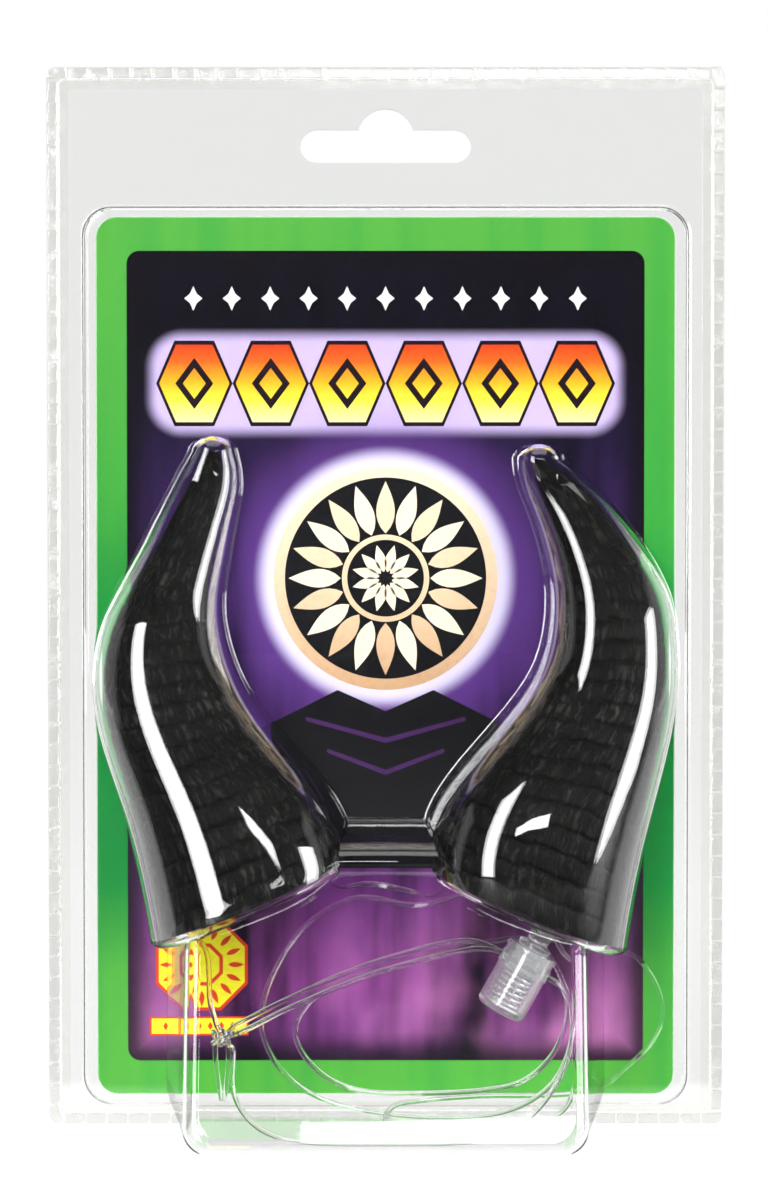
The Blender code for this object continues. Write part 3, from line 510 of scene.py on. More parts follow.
def apply_modifiers(piece):
    graph = bpy.context.evaluated_depsgraph_get()
    mesh = bpy.data.meshes.new_from_object(piece.evaluated_get(graph))
    piece.modifiers.clear()
    piece.data = mesh


def cut_or_join(target, tools, sharp_angle=35):
    """Applies (tool, operation) pairs to the target with exact Booleans and removes the tools."""
    for tool, operation in tools:
        modifier = target.modifiers.new(tool.name, "BOOLEAN")
        modifier.operation = operation
        modifier.object = tool
    apply_modifiers(target)
    target.data.set_sharp_from_angle(angle=math.radians(sharp_angle))
    for tool, _ in tools:
        bpy.data.objects.remove(tool)
    return target


def join_pieces(name, pieces):
    """One object from several meshes at the origin, with their materials kept."""
    solid = bmesh.new()
    mesh = bpy.data.meshes.new(name)
    materials = []
    for piece in pieces:
        material = piece.data.materials[0]
        if material not in materials:
            materials.append(material)
        first = len(solid.faces)
        solid.from_mesh(piece.data)
        solid.faces.ensure_lookup_table()
        for face in solid.faces[first:]:
            face.material_index = materials.index(material)
        bpy.data.objects.remove(piece)
    solid.to_mesh(mesh)
    solid.free()
    return add_piece(name, mesh, *materials)


# Horn sections


def horn_columns(rows, base_level, shares):
    """across, up, half width and tilt of a horn's sections at shares of its run, and the run."""
    scale = np.array([HORN_REACH, HORN_HEIGHT, HORN_BASE_WIDTH / 2, 1])
    sections = np.array(rows) * scale + np.array([0, base_level, 0, 0])
    fine = smooth_curve(sections, 12)
    steps = np.linalg.norm(np.diff(fine[:, :2], axis=0), axis=1)
    run = np.concatenate([[0], np.cumsum(steps)])
    even = np.linspace(0, run[-1], SMOOTH_POINTS)
    places = np.arange(-SMOOTH_REACH, SMOOTH_REACH + 1) / (SMOOTH_REACH / 2.2)
    weights = np.exp(-(places**2) / 2)
    weights /= weights.sum()
    columns = []
    for column in fine.T:
        level = np.interp(even, run, column)
        before = 2 * level[0] - level[SMOOTH_REACH:0:-1]
        after = 2 * level[-1] - level[-2 : -SMOOTH_REACH - 2 : -1]
        smooth = np.convolve(np.concatenate([before, level, after]), weights, "valid")
        columns.append(np.interp(np.asarray(shares) * run[-1], even, smooth))
    return columns, run[-1]


def half_depth(half_width):
    """Half a section's depth, which is less flat towards the tip."""
    return half_width * (1 - HORN_FLATNESS * half_width / (HORN_BASE_WIDTH / 2))


class HornSection:
    """A slanted section: its middle, its half width, its half depth and its two directions."""

    def __init__(self, side, across, up, half_width, tilt):
        slope = math.radians(tilt)
        self.middle = Vector((side * across, 0, up))
        self.inward = Vector((-side * math.cos(slope), 0, math.sin(slope)))
        self.upward = Vector((side * math.sin(slope), 0, math.cos(slope)))
        self.half_width = half_width
        self.half_depth = half_depth(half_width)

    def point(self, sideways, depth, lift=0.0):
        place = self.middle + self.inward * sideways + self.upward * lift
        return to_world(place.x, depth, place.z)


def section_of(rows, base_level, side, share):
    columns, _ = horn_columns(rows, base_level, [share])
    return HornSection(side, *[column[0] for column in columns])


# Node helpers


def put(tree, node, inputs):
    """Sets a node's inputs, by name or number, to sockets, numbers, vectors or colours."""
    for key, value in dict(inputs).items():
        socket = node.inputs[key]
        if isinstance(value, bpy.types.NodeSocket):
            tree.links.new(value, socket)
        else:
            socket.default_value = (*value, 1) if socket.type == "RGBA" else value
    return node


def add_node(tree, kind, inputs=(), **settings):
    node = tree.nodes.new(kind)
    for name, value in settings.items():
        setattr(node, name, value)
    return put(tree, node, inputs)


def value_node(tree, operation, *inputs):
    """A Math node whose inputs are numbers or sockets. Returns its output."""
    return add_node(tree, "ShaderNodeMath", enumerate(inputs), operation=operation).outputs[0]


def mix_color(tree, factor, first, second):
    """A colour Mix node. Each input is a colour or a socket."""
    inputs = {0: factor, 6: first, 7: second}
    return add_node(tree, "ShaderNodeMix", inputs, data_type="RGBA").outputs[2]


def range_node(tree, value, low, high, to_low=0.0, to_high=1.0, smooth=True):
    inputs = enumerate((value, low, high, to_low, to_high))
    kind = "SMOOTHSTEP" if smooth else "LINEAR"
    return add_node(tree, "ShaderNodeMapRange", inputs, interpolation_type=kind).outputs[0]


def ramp_node(tree, value, stops):
    """A colour ramp from (position, colour) pairs."""
    node = add_node(tree, "ShaderNodeValToRGB", {0: value})
    elements = node.color_ramp.elements
    while len(elements) > 1:
        elements.remove(elements[-1])
    elements[0].position = stops[0][0]
    elements[0].color = (*stops[0][1], 1)
    for position, color in stops[1:]:
        elements.new(position).color = (*color, 1)
    return node.outputs[0]


def noise_node(tree, vector, scale, detail=3.0, roughness=0.5, stretch=None):
    """A Noise node on a vector, which may be stretched first. Returns its value output."""
    if stretch is not None:
        inputs = {"Vector": vector, "Scale": stretch}
        vector = add_node(tree, "ShaderNodeMapping", inputs).outputs[0]
    inputs = {"Vector": vector, "Scale": scale, "Detail": detail, "Roughness": roughness}
    return add_node(tree, "ShaderNodeTexNoise", inputs).outputs[0]


def new_group(name, labels, results):
    """An empty shader node group on a point and numbers, with its input sockets and its end."""
    group = bpy.data.node_groups.new(name, "ShaderNodeTree")
    for label in ("Point", *labels):
        kind = "NodeSocketVector" if label == "Point" else "NodeSocketFloat"
        group.interface.new_socket(label, in_out="INPUT", socket_type=kind)
    for label in results:
        group.interface.new_socket(label, in_out="OUTPUT", socket_type="NodeSocketFloat")
    return group, group.nodes.new("NodeGroupInput").outputs, group.nodes.new("NodeGroupOutput")


def ripple_group():
    """The slow waviness and the fine scuffs that every moulded clear sheet has."""
    name = "Ripple"
    if name in bpy.data.node_groups:
        return bpy.data.node_groups[name]
    group, given, end = new_group(name, ("Wave scale", "Scuff scale"), ("Height", "Scuffs"))
    wave = noise_node(group, given["Point"], given["Wave scale"], 1.5)
    scuff = noise_node(group, given["Point"], given["Scuff scale"], 6, 0.65)
    put(group, end, {"Height": wave, "Scuffs": range_node(group, scuff, 0.45, 0.75)})
    return group


def box_group():
    """Signed distance from a rounded box on the card's middle line: negative inside it."""
    name = "Rounded box"
    if name in bpy.data.node_groups:
        return bpy.data.node_groups[name]
    labels = ("Level", "Half width", "Half height", "Corner")
    group, given, end = new_group(name, labels, ("Distance",))
    split = add_node(group, "ShaderNodeSeparateXYZ", {0: given["Point"]}).outputs
    up = value_node(group, "SUBTRACT", split[2], given["Level"])
    beyond = []
    for offset, half in ((split[0], "Half width"), (up, "Half height")):
        inner = value_node(group, "SUBTRACT", given[half], given["Corner"])
        beyond.append(value_node(group, "SUBTRACT", value_node(group, "ABSOLUTE", offset), inner))
    outside = [value_node(group, "MAXIMUM", distance, 0.0) for distance in beyond]
    squares = [value_node(group, "MULTIPLY", distance, distance) for distance in outside]
    length = value_node(group, "SQRT", value_node(group, "ADD", *squares))
    inside = value_node(group, "MINIMUM", value_node(group, "MAXIMUM", *beyond), 0.0)
    total = value_node(group, "ADD", length, inside)
    put(group, end, {0: value_node(group, "SUBTRACT", total, given["Corner"])})
    return group


def box_distance(tree, point, *sizes):
    """Distance from a rounded box of a level, half width, half height and corner."""
    inputs = enumerate((point, *sizes))
    return add_node(tree, "ShaderNodeGroup", inputs, node_tree=box_group()).outputs[0]


# Materials

CLEAR_LOOKS = {
    # name: IOR, the slow waves' scale and strength, the scuffs' roughness, transmission
    "clear_sheet_look": (1.58, 24, 0.03, 0.02, 1),
    "weld_cell_look": (1.58, 180, 0.2, 0.2, 1),
    "weld_line_look": (1.58, 180, 0.2, 0.1, 0.45),
    "weld_bond_look": (1.3, 60, 0.1, 0.15, 1),
    "clear_elastic_look": (1.49, 260, 0.25, 0.05, 1),
    "clear_plastic_look": (1.49, 300, 0.3, 0.12, 0.93),
}
WELD_CELL_SHADE = 0.94
BOND_TINT = (0.955, 0.945, 0.925)
SHADOW_TINT = (0.975, 0.98, 0.977)
SCUFF_SCALE = 420


def new_material(name, inputs=()):
    """A material with a Principled shader. Returns it, its tree and the shader."""
    material = bpy.data.materials.new(name)
    material.use_nodes = True
    tree = material.node_tree
    return material, tree, put(tree, tree.nodes["Principled BSDF"], inputs)


def object_point(tree):
    return tree.nodes.new("ShaderNodeTexCoord").outputs["Object"]


def split_point(tree):
    """The object's own coordinates, together and apart."""
    point = object_point(tree)
    return point, add_node(tree, "ShaderNodeSeparateXYZ", {0: point}).outputs


def bump(tree, shader, height, strength, distance):
    inputs = {"Strength": strength, "Distance": distance, "Height": height}
    put(tree, shader, {"Normal": add_node(tree, "ShaderNodeBump", inputs).outputs[0]})


def clear_material(name, color, roughness):
    """Clear plastic with slow waves in it and fine scuffs on it. Light falls through it."""
    ior, wave_scale, wave_strength, scuffs, transmission = CLEAR_LOOKS[name]
    inputs = {"Base Color": color, "IOR": ior, "Transmission Weight": transmission}
    material, tree, shader = new_material(name, inputs)
    inputs = {"Point": object_point(tree), "Wave scale": wave_scale, "Scuff scale": SCUFF_SCALE}
    ripple = add_node(tree, "ShaderNodeGroup", inputs, node_tree=ripple_group()).outputs
    dull = range_node(tree, ripple["Scuffs"], 0, 1, roughness, roughness + scuffs, False)
    put(tree, shader, {"Roughness": dull})
    bump(tree, shader, ripple["Height"], wave_strength, 0.4 * MM)
    shadow = tree.nodes.new("ShaderNodeLightPath").outputs["Is Shadow Ray"]
    clear = add_node(tree, "ShaderNodeBsdfTransparent", {0: SHADOW_TINT})
    inputs = {0: shadow, 1: shader.outputs[0], 2: clear.outputs[0]}
    mixer = add_node(tree, "ShaderNodeMixShader", inputs)
    put(tree, tree.nodes["Material Output"], {0: mixer.outputs[0]})
    return material


def steel_material():
    material, tree, shader = new_material("spring_steel_look", {"Metallic": 1})
    grain = noise_node(tree, object_point(tree), 2600, 4)
    color = mix_color(tree, grain, (0.82, 0.83, 0.85), (0.95, 0.95, 0.95))
    dull = range_node(tree, grain, 0.3, 0.7, 0.14, 0.3)
    put(tree, shader, {"Base Color": color, "Roughness": dull})
    return material


def vinyl_material(settings):
    """Black moulded vinyl: dull ridges full of fine lengthwise streaks. The streaks on the crests
    carry painted sheen in a lighter grey, so the ring grooves, which get none, come out darker.
    """
    material, tree, shader = new_material("black_vinyl_look", {"Specular IOR Level": 0.07})
    straight = add_node(tree, "ShaderNodeAttribute", attribute_name="straight")
    crest = add_node(tree, "ShaderNodeAttribute", attribute_name="crest")
    grain = straight.outputs["Vector"]
    inputs = {0: noise_node(tree, grain, 300, 2), 1: (1.6 * MM, 1.6 * MM, 0), 2: grain}
    shifted = add_node(tree, "ShaderNodeVectorMath", inputs, operation="MULTIPLY_ADD").outputs[0]
    streaks = noise_node(tree, shifted, 1100, 3, 0.6, (1, 1, 0.24))
    coarse = noise_node(tree, shifted, 420, 2, 0.5, (1, 1, 0.4))
    patches = noise_node(tree, grain, 90, 3, 0.6)
    # Painted sheen: a lighter grey on the crests' streaks alone, in patches, stands in for light on
    # the ridges; the grooves get none and so come out darker.
    painted_crest_sheen = value_node(tree, "MULTIPLY", range_node(tree, streaks, 0.5, 0.72), crest.outputs["Fac"])
    painted_crest_sheen = value_node(tree, "MULTIPLY", painted_crest_sheen, range_node(tree, patches, 0.3, 0.7, 0.25, 1))
    color = mix_color(tree, painted_crest_sheen, settings.vinyl_dark, settings.painted_sheen_color)
    dull = range_node(tree, patches, 0.3, 0.75, 0.34, 0.55)
    put(tree, shader, {"Base Color": color, "Roughness": dull})
    height = value_node(tree, "ADD", streaks, value_node(tree, "MULTIPLY", coarse, 0.8))
    bump(tree, shader, height, 1.0, 0.5 * MM)
    return material


def glow(tree, point, level, radius, reach):
    """1 within a radius of a level on the card's middle line, falling to 0 over a reach."""
    flat = add_node(tree, "ShaderNodeVectorMath", {0: point, 1: (1, 0, 1)}, operation="MULTIPLY")
    inputs = {0: flat.outputs[0], 1: (0, 0, level)}
    offset = add_node(tree, "ShaderNodeVectorMath", inputs, operation="DISTANCE")
    return range_node(tree, offset.outputs["Value"], radius, radius + reach, 1, 0)


def field_color(tree, point, up, edge):
    """The card's inner field: dark violet with soft rays, pink lights below and two halos."""
    stops = (
        (0.0, (0.10, 0.022, 0.13)), (0.10, (0.25, 0.055, 0.26)), (0.20, (0.20, 0.045, 0.25)),
        (0.36, (0.075, 0.024, 0.15)), (0.60, (0.050, 0.020, 0.11)),
        (0.78, (0.012, 0.006, 0.030)), (0.88, (0.003, 0.002, 0.005)),
    )
    deep = ramp_node(tree, range_node(tree, up, 10 * MM, 166 * MM, smooth=False), stops)
    rays = noise_node(tree, point, 60, 3, 0.55, (1.6, 0, 0.22))
    color = mix_color(tree, range_node(tree, rays, 0.35, 0.72), deep, (0.004, 0.003, 0.01))
    soft = noise_node(tree, point, 45, 3, 0.5, (1, 0, 0.6))
    low = range_node(tree, up, 14 * MM, 56 * MM, 1, 0)
    lights = value_node(tree, "MULTIPLY", range_node(tree, soft, 0.42, 0.7), low)
    band = box_distance(tree, point, BAND_LEVEL, BAND_HALF_WIDTH, BAND_HALF_HEIGHT, 5 * MM)
    halo = range_node(tree, band, -0.6 * MM, 2.6 * MM, 1, 0)
    wide = glow(tree, point, ROSETTE_LEVEL, ROSETTE_RADIUS, 14 * MM)
    near = glow(tree, point, ROSETTE_LEVEL, ROSETTE_RADIUS + 0.6 * MM, 3.6 * MM)
    shade = range_node(tree, edge, -6 * MM, -0.4 * MM)
    for mask, strength, tint in (
        (lights, 0.75, (0.62, 0.22, 0.52)),
        (halo, 0.9, (0.62, 0.5, 0.86)),
        (wide, 0.5, (0.17, 0.06, 0.36)),
        (near, 1.0, (0.72, 0.66, 0.95)),
        (shade, 0.9, (0.004, 0.003, 0.006)),
    ):
        color = mix_color(tree, value_node(tree, "MULTIPLY", mask, strength), color, tint)
    return color


def card_material():
    """The printed card: a green border round a dark field, and plain board behind."""
    material, tree, shader = new_material("printed_card_look", {"Specular IOR Level": 0.04})
    point, split = split_point(tree)
    stops = (
        (0.0, (0.078, 0.366, 0.045)), (0.14, (0.07, 0.36, 0.045)), (0.24, (0.006, 0.265, 0.043)),
        (0.52, (0.004, 0.262, 0.05)), (0.66, (0.05, 0.33, 0.045)), (1.0, (0.085, 0.366, 0.051)),
    )
    level = range_node(tree, split[2], CARD_LOW[2], CARD_HIGH[2], smooth=False)
    border = ramp_node(tree, level, stops)
    stripes = range_node(tree, noise_node(tree, point, 55, 2, 0.5, (3, 0, 0.15)), 0.4, 0.7, 0, 0.35)
    border = mix_color(tree, stripes, border, (0.01, 0.27, 0.045))
    edge = box_distance(
        tree, point, CARD_MIDDLE, FIELD_HALF_WIDTH, FIELD_HALF_HEIGHT, FIELD_CORNER
    )
    inside = range_node(tree, edge, -0.05 * MM, 0.05 * MM, 1, 0)
    color = mix_color(tree, inside, border, field_color(tree, point, split[2], edge))
    rim = box_distance(tree, point, CARD_MIDDLE, CARD_WIDTH / 2, CARD_HEIGHT / 2, 4 * MM)
    worn = range_node(tree, rim, -0.25 * MM, -0.12 * MM, 0, 0.55)
    color = mix_color(tree, worn, color, (0.75, 0.85, 0.72))
    fibres = noise_node(tree, point, 1500, 4, 0.6)
    board = mix_color(tree, fibres, (0.62, 0.61, 0.58), (0.74, 0.73, 0.70))
    face = CARD_LOW[1]
    front = range_node(tree, split[1], face + 0.05 * MM, face + 0.1 * MM, 1, 0)
    color = mix_color(tree, front, board, color)
    dull = range_node(tree, front, 0, 1, 0.75, 0.4)
    put(tree, shader, {"Base Color": color, "Roughness": dull})
    bump(tree, shader, fibres, 0.12, 0.05 * MM)
    return material


def ink_material(name, stops, low=0, high=1):
    """Printed ink whose colour runs between two levels, with a little unevenness."""
    material, tree, shader = new_material(name, {"Specular IOR Level": 0.04})
    point, split = split_point(tree)
    color = ramp_node(tree, range_node(tree, split[2], low, high, smooth=False), stops)
    grain = noise_node(tree, point, 900, 3, 0.6)
    color = mix_color(tree, range_node(tree, grain, 0.4, 0.8, 0, 0.12), color, (0, 0, 0))
    dull = range_node(tree, grain, 0.3, 0.7, 0.36, 0.44)
    put(tree, shader, {"Base Color": color, "Roughness": dull})
    return material


def stage_material(settings):
    """A pale sweep lit from behind. What it mirrors in the sheet comes from its rear part alone."""
    material, tree, shader = new_material("pale_stage", {"Roughness": 0.6})
    point, split = split_point(tree)
    tone = mix_color(tree, noise_node(tree, point, 3, 2), (0.95, 0.95, 0.95), (1, 1, 1))
    seen = tree.nodes.new("ShaderNodeLightPath").outputs["Is Camera Ray"]
    lit = value_node(tree, "MAXIMUM", seen, range_node(tree, split[1], -35 * MM, -20 * MM))
    inputs = {
        "Emission Color": tone,
        "Emission Strength": value_node(tree, "MULTIPLY", lit, settings.stage_glow),
        "Base Color": mix_color(tree, lit, (0.01, 0.01, 0.01), (0.14, 0.14, 0.14)),
    }
    put(tree, shader, inputs)
    return material


# Blister


def form_profile(half, top, skin, root, squareness, steps):
    """(sideways, depth) pairs over a raised form: a flared root, a steep wall, a flatter front."""
    radius = ROOT_BEND + skin
    level = POCKET_FACE + ROOT_BEND
    top = max(top, level + 0.2 * MM)
    start = math.asin(((level - root) / (top - root)) ** (1 / squareness))
    reach = half * math.cos(start) ** squareness
    side = [(reach + radius, root)]
    for turn in range(0, 90, 9):
        angle = math.radians(turn)
        drop = 0.0 if turn else ROOT_DROP
        depth = level - radius * math.cos(angle) - drop
        side.append((reach + radius * (1 - math.sin(angle)), depth))
    over = []
    for i in range(steps + 1):
        angle = start + (math.pi - 2 * start) * i / steps
        wide = math.copysign(abs(math.cos(angle)) ** squareness, math.cos(angle))
        over.append((half * wide, root + (top - root) * math.sin(angle) ** squareness))
    return side + over + [(-x, depth) for x, depth in reversed(side)]


def crown_depths(rows, base_level, shares):
    """The horn's full depth at each share, eased to an even curve that clears every section."""
    known = np.linspace(0, BUBBLE_TIP_SHARE, 60)
    columns, _ = horn_columns(rows, base_level, known)
    deep = 2 * half_depth(columns[2])
    curve = np.polyfit(known, deep, 4)
    lack = deep - np.polyval(curve, known)
    return np.polyval(curve, np.minimum(shares, BUBBLE_TIP_SHARE)) + max(lack.max(), 0)


def bubble(name, rows, base_level, side, skin, root, material):
    """The form over one horn, a skin's thickness inside the blister's outer face."""
    base_depth, tip_depth = crown_depths(rows, base_level, [0, 1])
    floor_drop = GAP + SHEET - skin
    shares = np.linspace(BASE_BEND_SHARE, 1, 60)
    depths = crown_depths(rows, base_level, shares)
    columns, _ = horn_columns(rows, base_level, shares)
    front = HORN_BACK + ROOM_IN_FRONT + SHEET - skin
    loops = []

    def add_loop(section, half, deep, lift=0.0):
        profile = form_profile(half, front + deep, skin, root, BUBBLE_SQUARENESS, 40)
        loops.append([section.point(x, depth, lift) for x, depth in profile])

    base = section_of(rows, base_level, side, 0)
    for inset, rise in bend(0, 18, 36, 54, 72):
        half = base.half_width + ROOM_AT_BASE - skin - BASE_BEND * inset
        add_loop(base, half, base_depth - BASE_FRONT_BEND * inset, BASE_BEND * rise - floor_drop)
    for share, deep, *values in zip(shares, depths, *columns):
        section = HornSection(side, *values)
        room = ROOM_AT_BASE + (ROOM_AT_TIP - ROOM_AT_BASE) * share**2
        add_loop(section, section.half_width + room - skin, deep)
    for turn in DOME_TURNS:
        shrink = math.cos(math.radians(turn))
        lift = (DOME_REACH - skin) * math.sin(math.radians(turn))
        deep = tip_depth * (DOME_FLATNESS + (1 - DOME_FLATNESS) * shrink)
        add_loop(section, (section.half_width + ROOM_AT_TIP - skin) * shrink, deep, lift)
    return loft(name, loops, material)


def pocket(name, skin, root, material):
    """The raised pocket round the card, with a bend at its root and one at its edge."""
    half_width = CARD_WIDTH / 2 + POCKET_MARGIN_SIDE + SHEET - skin
    half_height = CARD_HEIGHT / 2 + POCKET_MARGIN_END + SHEET - skin
    face = POCKET_FACE - skin
    low_bend = POCKET_BEND + skin
    high_bend = max(POCKET_BEND + SHEET - skin, 0.2 * MM)
    floor = FLANGE_FACE - skin
    rows = [(root, low_bend)]
    for inset, rise in bend(0, 30, 60, 90):
        drop = 0.0 if rise else ROOT_DROP
        rows.append((floor + low_bend * rise - drop, low_bend * inset))
    for inset, rise in bend(0, 30, 60, 90):
        rows.append((face - high_bend * inset, -high_bend * rise))
    loops = []
    for depth, offset in rows:
        tall = half_height + offset
        corner = POCKET_CORNER - skin + offset
        outline = rounded_rectangle(
            half_width + offset, CARD_MIDDLE - tall, CARD_MIDDLE + tall, corner
        )
        loops.append([to_world(x, depth, z) for x, z in outline])
    return loft(name, loops, material)


def foot_outline(half_width, low, skin):
    """The foot's outline: round lower corners, and a top that follows the horns' bases."""
    side = half_width - skin
    low = low + skin
    lower = arc(side - FOOT_CORNER, low + FOOT_CORNER, FOOT_CORNER, -90, 0, 10)
    levels = np.linspace(low + FOOT_CORNER, FOOT_SIDE_TOP - skin, 13)
    upper = [(side, level) for level in levels[1:]]
    upper.append((FOOT_TOP_HALF * side / FOOT_ROOT_HALF, FOOT_TOP - skin))
    right = lower + upper
    return right + [(-x, z) for x, z in reversed(right)]


def foot(name, skin, root, material):
    """The stand-up foot: deepest at its bottom edge, with a rounded edge round its front."""
    lean = (PACK_DEPTH - FOOT_TOP_DEPTH) / (FOOT_TOP - FOOT_EDGE)
    rows = [(draft, 0.0, 0.0) for draft in (0.0, 0.25, 0.5, 0.75)]
    for short, inset in bend(0, 15, 30, 45, 60, 75, 90):
        rows.append((1.0, FOOT_EDGE * short, FOOT_EDGE * inset))
    loops = []
    for draft, short, inset in rows:
        half_width = FOOT_ROOT_HALF + (FOOT_FRONT_HALF - FOOT_ROOT_HALF) * draft - inset
        low = FOOT_ROOT_LEVEL * (1 - draft) + inset
        loop = []
        for x, z in foot_outline(half_width, low, skin):
            front = PACK_DEPTH - lean * (z - FOOT_EDGE) - skin - short
            first = front - FOOT_EDGE
            depth = root + (first - root) * draft if draft < 1 else front
            loop.append(to_world(x, depth, z))
        loops.append(loop)
    return loft(name, loops, material)


def bridge(name, skin, root, material):
    """The low saddle that joins the two bubbles where the horns' bases come nearest."""
    middle = (BRIDGE_LOW + BRIDGE_HIGH) / 2
    loops = []
    for share in np.linspace(-1, 1, 17):
        dip = BRIDGE_SADDLE * (1 - share**2)
        half = (BRIDGE_HIGH - BRIDGE_LOW) / 2 - skin
        top = BRIDGE_DEPTH - skin - dip
        profile = form_profile(half, top, skin, root, BRIDGE_SQUARENESS, 28)
        across = share * BRIDGE_HALF_WIDTH
        loops.append([to_world(across, depth, middle + x) for x, depth in profile])
    return loft(name, loops, material)


def hang_hole(name, material):
    """The cutter of the hang hole: a slot with round ends, and a round hump over its middle."""
    end = SLOT_HEIGHT / 2
    x = (SLOT_WIDTH - SLOT_HEIGHT) / 2
    hump_level = SLOT_LEVEL + HUMP_RISE
    start = math.degrees(math.asin((end - HUMP_RISE) / HUMP_RADIUS))
    outline = (
        arc(x, SLOT_LEVEL, end, -90, 90, 16)
        + arc(0, hump_level, HUMP_RADIUS, start, 180 - start, 24)
        + arc(-x, SLOT_LEVEL, end, 90, 270, 16)
    )
    return plate(name, outline, -SHEET, FLANGE_FACE + SHEET, material)


def make_blister(material):
    """The clear front: flange, pocket, bubbles, bridge and foot as one thin sheet."""
    outline = rounded_rectangle(PACK_WIDTH / 2, 0, PACK_HEIGHT, PACK_CORNER)
    front = plate("blister", outline, FLANGE_BACK, FLANGE_FACE, material)
    tools = []
    for word, skin, root, operation in (
        ("outer", 0.0, FLANGE_BACK + SHEET / 2, "UNION"),
        ("inner", SHEET, FLANGE_BACK - SHEET, "DIFFERENCE"),
    ):
        tools.append((pocket("pocket_" + word, skin, root, material), operation))
        tools.append((foot("foot_" + word, skin, root, material), operation))
        tools.append((bridge("bridge_" + word, skin, root, material), operation))
        for label, rows, level, side in HORNS:
            form = bubble(f"bubble_{label}_{word}", rows, level, side, skin, root, material)
            tools.append((form, operation))
    tools.append((hang_hole("hang_hole", material), "DIFFERENCE"))
    cut_or_join(front, tools, 28)
    for polygon in front.data.polygons:
        if polygon.area > LEAST_FLAT or abs(polygon.normal.y) > 0.9999:
            polygon.use_smooth = False
    return front


# Welded rim


def weld_tree():
    """Geometry nodes that lay a cell along a closed line at an even pitch."""
    tree = bpy.data.node_groups.new("Weld cells", "GeometryNodeTree")
    for label, way, kind in (
        ("Line", "INPUT", "Geometry"),
        ("Cell", "INPUT", "Object"),
        ("Pitch", "INPUT", "Float"),
        ("Material", "INPUT", "Material"),
        ("Cells", "OUTPUT", "Geometry"),
    ):
        tree.interface.new_socket(label, in_out=way, socket_type="NodeSocket" + kind)
    given = tree.nodes.new("NodeGroupInput").outputs
    curve = add_node(tree, "GeometryNodeMeshToCurve", {0: given["Line"]}).outputs[0]
    inputs = {0: curve, "Length": given["Pitch"]}
    spread = add_node(tree, "GeometryNodeCurveToPoints", inputs, mode="LENGTH").outputs
    kind = "FunctionNodeAlignRotationToVector"
    turn = add_node(tree, kind, {"Vector": spread["Tangent"]}, axis="X", pivot_axis="Y").outputs[0]
    cell = add_node(tree, "GeometryNodeObjectInfo", {0: given["Cell"]}).outputs["Geometry"]
    inputs = {"Points": spread[0], "Instance": cell, "Rotation": turn}
    placed = add_node(tree, "GeometryNodeInstanceOnPoints", inputs).outputs[0]
    real = add_node(tree, "GeometryNodeRealizeInstances", {0: placed}).outputs[0]
    inputs = {0: real, "Material": given["Material"]}
    painted = add_node(tree, "GeometryNodeSetMaterial", inputs).outputs[0]
    put(tree, tree.nodes.new("NodeGroupOutput"), {0: painted})
    return tree


def weld_cell(length, material):
    """One pressed cell about the origin: a shallow pad with soft edges."""
    half = (length - WELD_GROOVE) / 2
    tall = WELD_WIDTH / 2 - WELD_LINE
    loops = []
    for rise, inset in ((0.0, 0.0), (0.6, 0.02), (0.9, 0.1), (1.0, 0.25)):
        shrink = inset * MM
        outline = rounded_rectangle(half - shrink, shrink - tall, tall - shrink, 0.3 * MM, 2)
        loops.append([Vector((x, -rise * WELD_RISE, z)) for x, z in outline])
    return loft("weld_cell", loops, material)


def rim_loop(inset, depth, least_corner):
    """A loop round the pack at a depth, inset from its edge."""
    corner = max(PACK_CORNER - inset, least_corner)
    outline = rounded_rectangle(PACK_WIDTH / 2 - inset, inset, PACK_HEIGHT - inset, corner, 6)
    return [to_world(x, depth, z) for x, z in outline]


def make_weld(pitch, material, white):
    """The rim's cells, and the raised line inside them."""
    clear = FLANGE_FACE + 0.01 * MM
    points = rim_loop(WELD_WIDTH / 2, clear, 0.8 * MM)
    edges = [(i, (i + 1) % len(points)) for i in range(len(points))]
    line = bpy.data.meshes.new("weld_line")
    line.from_pydata(points, edges, [])
    holder = bpy.data.objects.new("weld_cells", line)
    bpy.context.scene.collection.objects.link(holder)
    cell = weld_cell(pitch, material)
    modifier = holder.modifiers.new("Weld cells", "NODES")
    modifier.node_group = weld_tree()
    values = {"Cell": cell, "Pitch": pitch, "Material": material}
    for socket in modifier.node_group.interface.items_tree:
        if socket.in_out == "INPUT" and socket.name in values:
            modifier[socket.identifier] = values[socket.name]
    apply_modifiers(holder)
    bpy.data.objects.remove(cell)
    inner = rim_loop(WELD_WIDTH, clear, 1.2 * MM)
    ridge = tube_mesh("weld_ridge", inner, WELD_LINE, 8, white, closed=True)
    return join_pieces("weld_rim", [holder, ridge])


def make_bond(material):
    """The ring where both sheets have run together, in the gap between them."""
    inner = WELD_WIDTH + BOND_MARGIN
    low, high = SHEET + 0.02 * MM, FLANGE_BACK - 0.02 * MM
    places = ((0.15 * MM, low), (0.15 * MM, high), (inner, high), (inner, low))
    loops = [rim_loop(inset, depth, 0.6 * MM) for inset, depth in places]
    return loft("weld_bond", loops, material, closed=True)


# Horns


def ring_profile(shares, ring_count):
    """Each share's place in its ring as a count, and how far the rings have faded out there."""
    places = np.linspace(0, 1.3, 400)
    known = RING_RUN * places * (1 + RING_SPREAD * (1 - places))
    count = np.interp(shares, known, places) * ring_count
    fade = np.clip((0.97 - shares) / 0.12, 0, 1)
    return count, fade


